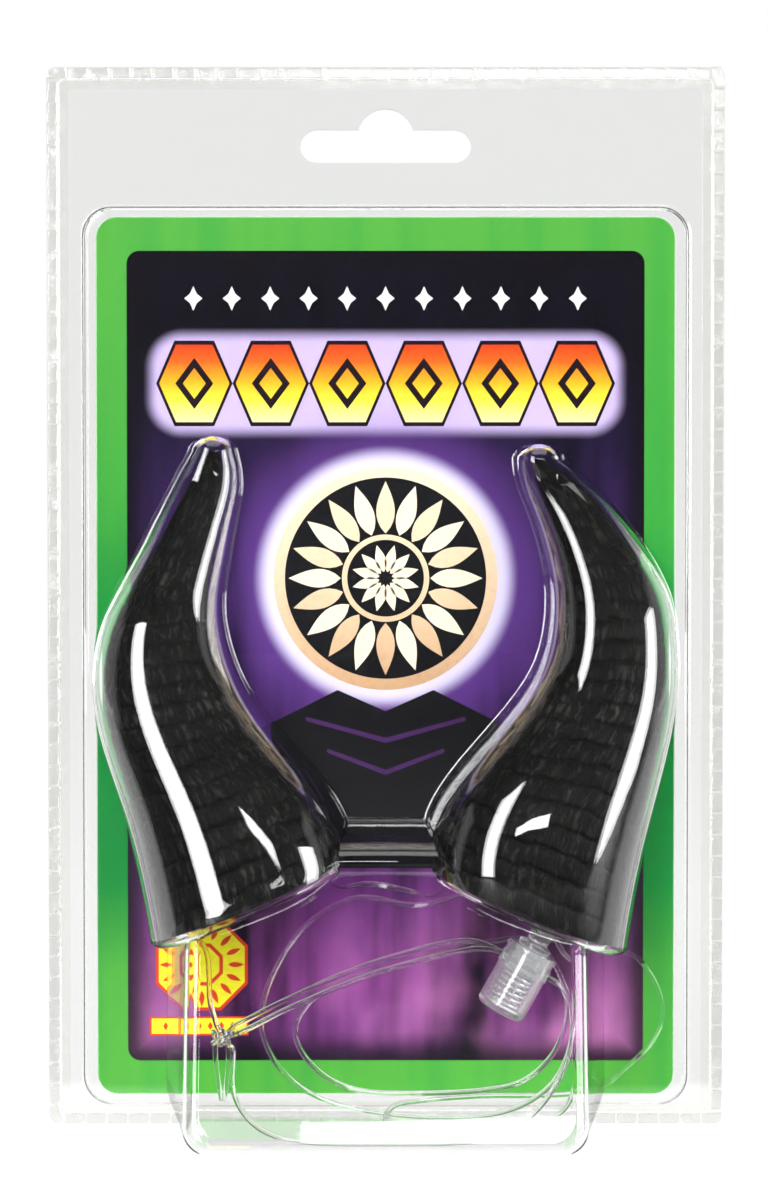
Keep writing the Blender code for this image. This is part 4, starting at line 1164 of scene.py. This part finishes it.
def horn_grid(rows, base_level, side, settings):
    """Outer points of a horn, the straightened place of each and how much it is a crest."""
    shares = np.linspace(0, 1, settings.stations)
    (across, up, half, tilt), run = horn_columns(rows, base_level, shares)
    deep = half_depth(half)
    angles = np.linspace(0, math.tau, settings.sides, endpoint=False)
    count, fade = ring_profile(shares, settings.ring_count)
    random = np.random.default_rng(7 if side < 0 else 11)
    phases = random.uniform(0, math.tau, 8)
    waver = (
        0.1 * np.sin(2 * angles + phases[0])
        + 0.05 * np.sin(5 * angles + phases[1])
        + 0.035 * np.sin(17 * angles + phases[2])
        + 0.03 * np.sin(29 * angles + phases[5])
    )
    drift = 0.04 * np.sin(11 * angles[None, :] + 19 * shares[:, None] * math.tau + phases[3])
    ring = count[:, None] + waver[None, :] + drift
    part = ring - np.floor(ring)
    groove = np.exp(-((np.minimum(part, 1 - part) / 0.1) ** 2))
    bulge = 0.35 * (1 - np.sin(part * math.pi) ** 0.7)
    strength = np.sqrt(half / (HORN_BASE_WIDTH / 2)) * fade
    start = np.clip(shares / 0.012, 0, 1)
    uneven = 0.8 + 0.2 * np.sin(ring * 2.3 + 5 * angles[None, :] + phases[4])
    inset = settings.ring_depth * (groove * 0.85 + bulge) * uneven * (strength * start)[:, None]
    wide = (half[:, None] - inset) * np.cos(angles)
    depth = HORN_BACK + deep[:, None] + (deep[:, None] - inset) * np.sin(angles)
    slope = np.radians(tilt)[:, None]
    x = side * across[:, None] - side * np.cos(slope) * wide
    z = up[:, None] + np.sin(slope) * wide
    points = np.stack([x, PACK_BACK - depth, z], axis=-1)
    flat = (half[:, None] * np.cos(angles), deep[:, None] * np.sin(angles))
    straight = np.stack([*flat, np.broadcast_to(shares[:, None] * run, wide.shape)], axis=-1)
    return points, straight, 1 - np.clip(groove * fade[:, None], 0, 1)


def inner_loop(section, sides, inset, lift=0.0):
    """Points round a section inside its wall, in the same order as the outer grid's."""
    axis = HORN_BACK + section.half_depth
    wide = section.half_width - inset
    deep = section.half_depth - inset
    return [section.point(wide * x, axis + deep * y, lift) for x, y in circle(0, 0, 1, sides)]


def make_horn(label, rows, base_level, side, settings, material):
    """One hollow horn: a ringed outside, a round lip, a smooth inside and two cord holes."""
    points, straight, crest = horn_grid(rows, base_level, side, settings)
    sides = settings.sides
    loops = []
    base = section_of(rows, base_level, side, 0)
    for share in np.linspace(HOLLOW_END, 0.02, 30):
        section = section_of(rows, base_level, side, share)
        loops.append(inner_loop(section, sides, HORN_WALL + 0.2 * MM))
    lip = HORN_WALL / 2
    for turn in (20, 50, 90, 130, 160):
        angle = math.radians(turn)
        inset = lip + lip * math.cos(angle)
        loops.append(inner_loop(base, sides, inset, lip * 0.6 * (1 - math.sin(angle))))
    first = len(loops)
    loops += [[Vector(point) for point in ring] for ring in points[1:]]
    tip = section_of(rows, base_level, side, 1)
    for turn in (30, 60, 80):
        angle = math.radians(turn)
        inset = tip.half_width * (1 - math.cos(angle))
        loops.append(inner_loop(tip, sides, inset, 0.5 * MM * math.sin(angle)))
    horn = loft(f"horn_{label}_skin", loops, material, 80)
    write_attributes(horn.data, loops, first, straight[1:], crest[1:])
    tools = [
        (cord_hole(f"cord_hole_{label}_{sideways}", base, sideways, turn, material), "DIFFERENCE")
        for sideways, turn in ((-1, CORD_HOLE_TURN_OUTER), (1, CORD_HOLE_TURN_INNER))
    ]
    return cut_or_join(horn, tools, 80)


def write_attributes(mesh, loops, first, straight, crest):
    """Stores each point's straightened place and its crest, which start at the first outer loop."""
    places = np.array([[tuple(point) for point in loop] for loop in loops])
    crests = np.full(places.shape[:2], 0.4)
    last = first + len(straight)
    places[first:last] = straight
    places[last:] = straight[-1]
    crests[first:last] = crest
    crests[last:] = 1.0
    for name, kind, field, values in (
        ("straight", "FLOAT_VECTOR", "vector", places),
        ("crest", "FLOAT", "value", crests),
    ):
        attribute = mesh.attributes.new(name, kind, "POINT")
        attribute.data.foreach_set(field, values.astype(np.float32).reshape(-1))


def cord_hole(name, section, sideways, turn, material):
    """A round cutter through the back of a horn's wall, at a turn from its side."""
    wide = section.half_width * math.cos(turn)
    deep = section.half_depth * math.sin(turn)
    along = section.inward * (sideways * wide / section.half_width**2)
    along += Vector((0, 1, 0)) * (deep / section.half_depth**2)
    place = along.normalized().to_track_quat("Z", "Y").to_matrix().to_4x4()
    depth = HORN_BACK + section.half_depth - deep
    place.translation = section.point(sideways * wide, depth, CORD_HOLE_UP)
    outline = circle(0, 0, CORD_HOLE_RADIUS, 28)
    reach = 3 * HORN_WALL
    loops = [[place @ Vector((x, y, z)) for x, y in outline] for z in (-reach, reach / 2)]
    return loft(name, loops, material)


# Cords, knot and lock


def make_cord(name, route, material):
    """An elastic cord as a curve through its route. Returns it and its length."""
    fine = smooth_curve(np.array(route) * MM, 10)
    points = [to_world(*point) for point in fine]
    data = bpy.data.curves.new(name, "CURVE")
    data.dimensions = "3D"
    data.bevel_depth = CORD_DIAMETER / 2
    data.bevel_resolution = 4
    data.use_fill_caps = True
    spline = data.splines.new("POLY")
    spline.points.add(len(points) - 1)
    for target, point in zip(spline.points, points):
        target.co = (*point, 1)
        target.radius = 1
    spline.use_smooth = True
    length = sum((after - before).length for before, after in zip(points, points[1:]))
    return add_piece(name, data, material), points[0], length


def make_knot(material):
    """The overhand knot: wraps round the strands, their ends inside it and two cut tails."""
    middle = to_world(*KNOT_PLACE)
    radius = CORD_DIAMETER / 2
    pieces = []
    for shift, lean, size in ((-1.25, 62, 1.15), (-0.3, 96, 1.3), (0.75, 121, 1.15)):
        place = Matrix.Translation(middle + Vector((shift * MM, 0, 0)))
        place = place @ Matrix.Rotation(math.radians(lean), 4, "Y")
        points = [place @ Vector((x, y * 0.85, 0)) for x, y in circle(0, 0, size * MM, 28)]
        pieces.append(tube_mesh("wrap", points, radius, 12, material, closed=True))
    over = (
        (-2.0, -0.9, -1.0), (-1.0, -1.3, -0.3), (0.1, -1.35, 0.3), (1.1, -1.1, 0.9),
        (1.9, -0.4, 0.9),
    )
    points = [middle + Vector(point) * MM for point in smooth_curve(over, 6)]
    pieces.append(tube_mesh("over_strand", points, radius, 12, material))
    for end in (HEAD_CORD_ROUTE[0], HEAD_CORD_ROUTE[-1], CHIN_CORD_ROUTE[0], CHIN_CORD_ROUTE[-1]):
        outer = to_world(*(value * MM for value in end))
        points = [outer + (middle - outer) * share for share in (0.01, 0.3, 0.6, 0.85)]
        pieces.append(tube_mesh("strand_end", points, radius * 0.98, 12, material))
    for top, bottom, bow, back in ((-1.5, -0.3, -0.35, 0.5), (0.9, 0.15, 0.35, -0.3)):
        points = []
        for share in np.linspace(0, 1, 9):
            across = top + (bottom - top) * share + bow * math.sin(share * math.pi)
            drop = share * TAIL_LENGTH + 0.4 * MM * (1 - share)
            points.append(middle + Vector((across * MM, back * share * MM, -drop)))
        pieces.append(tube_mesh("tail", points, radius, 12, material))
    return join_pieces("knot", pieces)


def lock_place():
    """The lock's own frame: its Z axis along the barrel, its origin at the barrel's bottom."""
    axis = Vector((math.sin(LOCK_TILT), 0, math.cos(LOCK_TILT)))
    start = to_world(*LOCK_PLACE) - axis * LOCK_HOLE_UP
    return Matrix.Translation(start) @ Matrix.Rotation(LOCK_TILT, 4, "Y")


def lock_slot(reach, low, high, material, place):
    """A cutter across the lock for both strands of the cord."""
    outline = rounded_rectangle(STRAND_SPACING / 2 + STRAND_ROOM, low, high, 0.4 * MM, 5)
    loops = [[place @ Vector((x, y, z)) for y, z in outline] for x in (-reach, reach)]
    return loft("lock_slot", loops, material)


def make_barrel(material, place):
    """The lock's cup: rounded bottom edge, lipped mouth and a collar round each cross hole."""
    outer, lip, bore, top = BARREL_RADIUS, BARREL_LIP, BORE_RADIUS, BARREL_LENGTH
    profile = [(0, 0)] + arc(outer - BARREL_WALL, BARREL_WALL, BARREL_WALL, -90, 0, 8)
    for radius, drop in (
        (outer, 1.3), (outer + lip * 0.8, 1.1), (outer + lip, 0.9), (outer + lip, 0.25),
        (outer + lip * 0.7, 0.05), (outer, 0), (bore + 0.2 * MM, 0), (bore, 0.2),
    ):
        profile.append((radius, top - drop * MM))
    profile += [(bore, BARREL_WALL + 0.5 * MM), (bore - 0.5 * MM, BARREL_WALL), (0, BARREL_WALL)]
    barrel = turned("barrel_shell", profile, 72, material, place)
    cutter = lock_slot(2 * outer, LOCK_HOLE_LOW, LOCK_HOLE_HIGH, material, place)
    pieces = [cut_or_join(barrel, [(cutter, "DIFFERENCE")])]
    half = STRAND_SPACING / 2 + STRAND_ROOM + 0.2 * MM
    tall = STRAND_ROOM + 0.2 * MM
    for side in (-1, 1):
        points = []
        for wide, high in circle(0, 0, 1, 36):
            y = half * math.copysign(abs(wide) ** 0.7, wide)
            z = LOCK_HOLE_UP + tall * math.copysign(abs(high) ** 0.7, high)
            x = side * (math.sqrt(outer**2 - y**2) + 0.05 * MM)
            points.append(place @ Vector((x, y, z)))
        pieces.append(tube_mesh("collar", points, 0.22 * MM, 10, material, closed=True))
    return join_pieces("barrel", pieces)


def make_plunger(material, place):
    """The plunger: a stem that fills the bore, a waisted neck and a trumpet head."""
    stem, neck, head = BORE_RADIUS - GAP, PLUNGER_NECK_RADIUS, PLUNGER_HEAD_RADIUS
    shoulder = PLUNGER_SLOT_TOP + 0.7 * MM
    bottom, top = PLUNGER_BOTTOM, PLUNGER_TOP
    profile = [(0, bottom), (stem - 0.2 * MM, bottom), (stem, bottom + 0.2 * MM)]
    profile += [(stem, shoulder - 0.2 * MM), (stem - 0.2 * MM, shoulder)]
    profile += [(neck + 0.3 * MM, shoulder + 0.15 * MM), (neck, shoulder + 0.5 * MM)]
    low, high = shoulder + 0.6 * MM, top - 0.75 * MM
    for share in np.linspace(0, 1, 9):
        profile.append((neck + (head - neck) * share**2.4, low + (high - low) * share))
    for radius, drop in (
        (head, 0.3), (head - 0.12 * MM, 0.08), (head - 0.35 * MM, 0), (head - 1.0 * MM, 0),
        (head - 1.25 * MM, 0.15), (1.15 * MM, 0.8), (0.95 * MM, 1.6), (0, 1.7),
    ):
        profile.append((radius, top - drop * MM))
    plunger = turned("plunger", profile, 64, material, place)
    cutter = lock_slot(2 * stem, LOCK_HOLE_LOW, PLUNGER_SLOT_TOP, material, place)
    return cut_or_join(plunger, [(cutter, "DIFFERENCE")])


def make_spring(material, place):
    """The coil spring, with its last half turn at each end lying flat."""
    low = BARREL_WALL + GAP + SPRING_WIRE / 2
    high = PLUNGER_BOTTOM - GAP - SPRING_WIRE / 2
    radius = BORE_RADIUS - 2 * GAP - SPRING_WIRE / 2
    steps = 30 * SPRING_TURNS
    points = []
    for i in range(steps + 1):
        turn = SPRING_TURNS * i / steps
        share = min(max((turn - 0.4) / (SPRING_TURNS - 0.8), 0), 1)
        angle = math.tau * turn
        height = low + (high - low) * share
        points.append(place @ Vector((radius * math.cos(angle), radius * math.sin(angle), height)))
    return tube_mesh("spring", points, SPRING_WIRE / 2, 10, material)


# Card print


def print_motifs(name, motifs, inks):
    """One piece from (outline, layer, ink) motifs on the card's face, each one ink high."""
    pieces = []
    for outline, layer, ink in motifs:
        back = CARD_FACE + INK * (0.25 + layer)
        pieces.append(plate("motif", outline, back, back + INK * 0.7, inks[ink]))
    return join_pieces(name, pieces)


def lozenge(x, z, half_width, half_height, waist=1.0):
    """A four-cornered lozenge, or with a waist under 1 an eight-cornered star."""
    reaches = (1.0, waist * math.sqrt(0.5)) * 4
    return [
        (x + half_width * reach * a, z + half_height * reach * b)
        for reach, (a, b) in zip(reaches, circle(0, 0, 1, 8))
    ]


def petals(x, z, start, end, half_width, count, offset=0.0):
    """Pointed petals between two distances from a middle, as many as fill the round."""
    edge = [(i / 9, 1) for i in range(9)] + [(1 - i / 9, -1) for i in range(9)]
    for i in range(count):
        turn = math.tau * (i + offset) / count
        points = []
        for share, side in edge:
            along = start + (end - start) * share
            across = side * half_width * math.sin(math.pi * share**0.8)
            points.append((
                x + along * math.sin(turn) + across * math.cos(turn),
                z + along * math.cos(turn) - across * math.sin(turn),
            ))
        yield points


def print_band(inks):
    """A row of outlined six-sided links in warm colours, and a finer white row above it."""
    motifs = []
    step = 2 * BAND_HALF_WIDTH / BAND_COUNT
    for i in range(BAND_COUNT):
        x = -BAND_HALF_WIDTH + step * (i + 0.5)
        for layer, inset, ink in ((0, 0.0, "dark"), (1, 0.75 * MM, "warm")):
            wide, tall = step / 2 - inset * 0.8, BAND_HALF_HEIGHT - inset
            link = [(wide, 0), (wide * 0.52, tall), (-wide * 0.52, tall)]
            link += [(-a, -b) for a, b in link]
            motifs.append(([(x + a, BAND_LEVEL + b) for a, b in link], layer, ink))
        for layer, grow, ink in ((2, 0.5, "dark"), (3, 0.3, "warm")):
            eye = lozenge(x, BAND_LEVEL, step / 2 * grow, BAND_HALF_HEIGHT * grow * 1.2)
            motifs.append((eye, layer, ink))
    for x in np.linspace(-DOTS_HALF_WIDTH, DOTS_HALF_WIDTH, DOTS_COUNT):
        motifs.append((lozenge(x, DOTS_LEVEL, 1.7 * MM, 2.3 * MM, 0.75), 0, "white"))
    return print_motifs("card_band", motifs, inks)


def print_rosette(inks):
    """A round medallion of petals and rings, over a dark shield with two chevrons."""
    x, z = 0.0, ROSETTE_LEVEL
    motifs = [
        (circle(x, z, ROSETTE_RADIUS), 0, "tan"), (circle(x, z, ROSETTE_RADIUS * 0.9), 1, "black"),
    ]
    for i, petal in enumerate(petals(x, z, 8.4 * MM, 18.2 * MM, 1.75 * MM, 20)):
        motifs.append((petal, 2, "cream" if i % 2 else "tan"))
    motifs += [(circle(x, z, 8.2 * MM), 2, "tan"), (circle(x, z, 7.2 * MM), 3, "black")]
    inner = petals(x, z, 1.2 * MM, 6.4 * MM, 1.0 * MM, 12, 0.5)
    motifs += [(petal, 4, "cream") for petal in inner]
    motifs.append(([(a * MM, b * MM) for a, b in SHIELD], 0, "black"))
    for level, reach in ((73, 15), (67, 11)):
        chevron = [(0, level), (-reach, level + 4), (-reach, level + 3.2), (0, level - 1)]
        chevron += [(reach, level + 3.2), (reach, level + 4)]
        motifs.append(([(a * MM, b * MM) for a, b in chevron], 1, "violet"))
    return print_motifs("card_rosette", motifs, inks)


def print_badge(inks):
    """A plain eight-sided badge with a sunburst and, below it, a bar with ticks."""
    x, z = BADGE_PLACE
    motifs = []
    for layer, grow in enumerate((1, 0.93, 0.46, 0.38)):
        ink = "yellow" if layer % 2 else "red"
        motifs.append((circle(x, z, BADGE_RADIUS * grow, 8, 22.5), layer, ink))
    motifs += [(ray, 2, "red") for ray in petals(x, z, 5.0 * MM, 8.0 * MM, 0.5 * MM, 16)]
    x, z = BAR_PLACE
    for layer, grow, ink in ((0, 0.0, "red"), (1, 0.35 * MM, "yellow")):
        wide, tall = BAR_HALF[0] - grow, BAR_HALF[1] - grow
        corners_of_bar = ((wide, -tall), (wide, tall), (-wide, tall), (-wide, -tall))
        motifs.append(([(x + a, z + b) for a, b in corners_of_bar], layer, ink))
    for i in range(-3, 4):
        motifs.append((lozenge(x + i * 2.1 * MM, z, 0.5 * MM, 0.8 * MM), 2, "red"))
    return print_motifs("card_badge", motifs, inks)


# Operators


class HORNPACK_OT_camera(bpy.types.Operator):
    """Makes the camera at the photograph's angle"""

    bl_idname = "hornpack.camera"
    bl_label = "Make camera"

    def execute(self, context):
        data = bpy.data.cameras.new("camera")
        data.lens = CAMERA_LENS
        data.sensor_width = 36
        camera = add_piece("camera", data)
        camera.location = to_world(-0.2 * MM, FLANGE_FACE + CAMERA_DISTANCE, CAMERA_LEVEL)
        aim = to_world(-0.2 * MM, FLANGE_FACE, CAMERA_AIM)
        camera.rotation_euler = (aim - camera.location).to_track_quat("-Z", "Y").to_euler()
        context.scene.camera = camera
        return {"FINISHED"}


class HORNPACK_OT_cords(bpy.types.Operator):
    """Makes both elastic cords and their knot"""

    bl_idname = "hornpack.cords"
    bl_label = "Make cords"

    def execute(self, context):
        settings = context.scene.hornpack_cords
        material = clear_material(
            "clear_elastic_look", settings.elastic_color, settings.elastic_roughness
        )
        knot = make_knot(material)
        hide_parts("cord_knot")
        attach(knot, "pack")
        for name, node, route in (
            ("elastic_head", "head_cord", HEAD_CORD_ROUTE),
            ("elastic_chin", "chin_cord", CHIN_CORD_ROUTE),
        ):
            cord, start, length = make_cord(name, route, material)
            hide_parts(node)
            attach(cord, "pack")
            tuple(start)
        return {"FINISHED"}


class HORNPACK_OT_blister(bpy.types.Operator):
    """Makes the clear front, its welded rim and the back sheet's finish"""

    bl_idname = "hornpack.blister"
    bl_label = "Make blister"

    def execute(self, context):
        settings = context.scene.hornpack_pack
        color = settings.sheet_color
        material = clear_material("clear_sheet_look", color, settings.sheet_roughness)
        blister = make_blister(material)
        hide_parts("pack_front")
        cell = clear_material("weld_cell_look", [WELD_CELL_SHADE * part for part in color], 0.16)
        rim = make_weld(settings.weld_pitch, cell, clear_material("weld_line_look", color, 0.25))
        bond = make_bond(clear_material("weld_bond_look", BOND_TINT, 0.1))
        for piece in (blister, rim, bond):
            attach(piece, "pack")
        dress(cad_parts["pack_back"], material)
        return {"FINISHED"}


class HORNPACK_OT_horns(bpy.types.Operator):
    """Makes both ringed horns"""

    bl_idname = "hornpack.horns"
    bl_label = "Make horns"

    def execute(self, context):
        settings = context.scene.hornpack_horns
        material = vinyl_material(settings)
        for label, rows, level, side in HORNS:
            horn = make_horn(label, rows, level, side, settings, material)
            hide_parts(f"horn_{label}")
            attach(horn, "pack")
        return {"FINISHED"}


class HORNPACK_OT_card(bpy.types.Operator):
    """Prints the card: its border and field, and the motifs on them"""

    bl_idname = "hornpack.card"
    bl_label = "Print card"

    def execute(self, context):
        dress(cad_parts["card"], card_material())
        warm = (
            (0.0, (0.93, 0.88, 0.45)), (0.3, (0.95, 0.78, 0.06)), (0.5, (0.93, 0.45, 0.02)),
            (0.75, (0.78, 0.13, 0.015)), (1.0, (0.6, 0.03, 0.01)),
        )
        tan = ((0.0, (0.60, 0.36, 0.20)), (0.5, (0.83, 0.62, 0.42)), (1.0, (0.90, 0.74, 0.55)))
        inks = {}
        for name, stops, middle, reach in (
            ("warm", warm, BAND_LEVEL, BAND_HALF_HEIGHT),
            ("tan", tan, ROSETTE_LEVEL, ROSETTE_RADIUS),
        ):
            inks[name] = ink_material(name + "_ink", stops, middle - reach, middle + reach)
        for name, color in (
            ("dark", (0.012, 0.006, 0.01)),
            ("black", (0.008, 0.008, 0.010)),
            ("white", (0.85, 0.85, 0.83)),
            ("violet", (0.06, 0.02, 0.10)),
            ("cream", (0.90, 0.80, 0.62)),
            ("yellow", (0.90, 0.82, 0.03)),
            ("red", (0.70, 0.06, 0.02)),
        ):
            inks[name] = ink_material(name + "_ink", ((0, color), (1, color)))
        for piece in (print_band(inks), print_rosette(inks), print_badge(inks)):
            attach(piece, "pack")
        return {"FINISHED"}


class HORNPACK_OT_lock(bpy.types.Operator):
    """Makes the cord lock: barrel, plunger and spring"""

    bl_idname = "hornpack.lock"
    bl_label = "Make cord lock"

    def execute(self, context):
        settings = context.scene.hornpack_cords
        material = clear_material(
            "clear_plastic_look", settings.plastic_color, settings.plastic_roughness
        )
        place = lock_place()
        barrel = make_barrel(material, place)
        plunger = make_plunger(material, place)
        spring = make_spring(steel_material(), place)
        for piece, node, slot, body in (
            (barrel, "lock_barrel", "clear_plastic", "pack"),
            (plunger, "lock_plunger", "clear_plastic", "plunger"),
            (spring, "lock_spring", "spring_steel", "pack"),
        ):
            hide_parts(node)
            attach(piece, body)
        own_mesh(spring)
        return {"FINISHED"}


class HORNPACK_OT_stage(bpy.types.Operator):
    """Makes the pale floor with its backdrop, the lights and the world"""

    bl_idname = "hornpack.stage"
    bl_label = "Make stage"

    def execute(self, context):
        settings = context.scene.hornpack_studio
        half, near, far, bend, top = 2.5, -2.0, 0.9, 0.5, 2.2
        line = [(near, 0.0), (far - bend, 0.0)]
        line += [
            (far - bend + bend * math.sin(a), bend * (1 - math.cos(a)))
            for a in np.radians(np.linspace(5, 90, 18))
        ]
        line.append((far, top))
        mesh = bpy.data.meshes.new("stage_sweep")
        points = [(x, y, z) for y, z in line for x in (-half, half)]
        faces = [(2 * i, 2 * i + 1, 2 * i + 3, 2 * i + 2) for i in range(len(line) - 1)]
        mesh.from_pydata(points, [], faces)
        mesh.shade_smooth()
        add_piece("stage_sweep", mesh, stage_material(settings))
        aim = Vector((0, 0, 0.1))
        for name, turn, distance, level, width, height, power, shines, fills in (
            ("softbox_left", -25, 1.1, 0.41, 0.31, 0.8, settings.left_power, True, False),
            ("softbox_right", 60, 1.1, 0.26, 0.5, 0.6, settings.right_power, True, False),
            ("softbox_middle", 4, 1.1, 0.385, 0.24, 0.06, settings.middle_power, True, False),
            ("softbox_top", 0, 0.35, 1.3, 0.9, 0.6, settings.top_power, True, True),
            ("side_left", -105, 1.2, 0.4, 1.5, 0.9, settings.side_power, True, False),
            ("side_right", 105, 1.2, 0.4, 1.5, 0.9, settings.side_power, True, False),
            ("front_fill", -12, 1.3, 1.15, 1.8, 1.2, settings.fill_power, False, True),
        ):
            data = bpy.data.lights.new(name, "AREA")
            data.shape = "RECTANGLE"
            data.size, data.size_y, data.energy = width, height, power
            light = add_piece(name, data)
            away = math.radians(turn)
            light.location = (distance * math.sin(away), -distance * math.cos(away), level)
            light.rotation_euler = (aim - light.location).to_track_quat("-Z", "Y").to_euler()
            light.visible_glossy = light.visible_transmission = shines
            light.visible_diffuse = fills
        world = bpy.data.worlds.new("soft_world")
        world.use_nodes = True
        tree = world.node_tree
        put(tree, tree.nodes["Background"], {0: (0.97, 0.985, 1.0), 1: settings.world_strength})
        context.scene.world = world
        context.scene.view_settings.view_transform = "Standard"
        return {"FINISHED"}


class HORNPACK_PT_panel(bpy.types.Panel):
    """Settings and steps of the horn pack"""

    bl_idname = "HORNPACK_PT_panel"
    bl_label = "Horn pack"
    bl_space_type = "VIEW_3D"
    bl_region_type = "UI"
    bl_category = "Horn pack"

    def draw(self, context):
        scene = context.scene
        for settings in (
            scene.hornpack_pack,
            scene.hornpack_horns,
            scene.hornpack_cords,
            scene.hornpack_studio,
        ):
            box = self.layout.box()
            for name in settings.bl_rna.properties.keys():
                if name not in ("rna_type", "name"):
                    box.prop(settings, name)
        for step in STEPS:
            self.layout.operator(step.bl_idname)


GROUPS = (
    ("hornpack_pack", PackSettings),
    ("hornpack_horns", HornSettings),
    ("hornpack_cords", CordSettings),
    ("hornpack_studio", StudioSettings),
)
STEPS = (
    HORNPACK_OT_camera,
    HORNPACK_OT_cords,
    HORNPACK_OT_lock,
    HORNPACK_OT_horns,
    HORNPACK_OT_card,
    HORNPACK_OT_blister,
    HORNPACK_OT_stage,
)


def register():
    for name, group in GROUPS:
        bpy.utils.register_class(group)
        setattr(bpy.types.Scene, name, bpy.props.PointerProperty(type=group))
    for step in STEPS:
        bpy.utils.register_class(step)
    bpy.utils.register_class(HORNPACK_PT_panel)


def unregister():
    bpy.utils.unregister_class(HORNPACK_PT_panel)
    for step in reversed(STEPS):
        bpy.utils.unregister_class(step)
    for name, group in reversed(GROUPS):
        delattr(bpy.types.Scene, name)
        bpy.utils.unregister_class(group)


def main():
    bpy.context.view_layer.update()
    register()
    bpy.ops.hornpack.camera()
    bpy.ops.hornpack.cords()
    bpy.ops.hornpack.lock()
    bpy.ops.hornpack.horns()
    bpy.ops.hornpack.card()
    bpy.ops.hornpack.blister()
    bpy.ops.hornpack.stage()


if __name__ == "__main__":
    main()
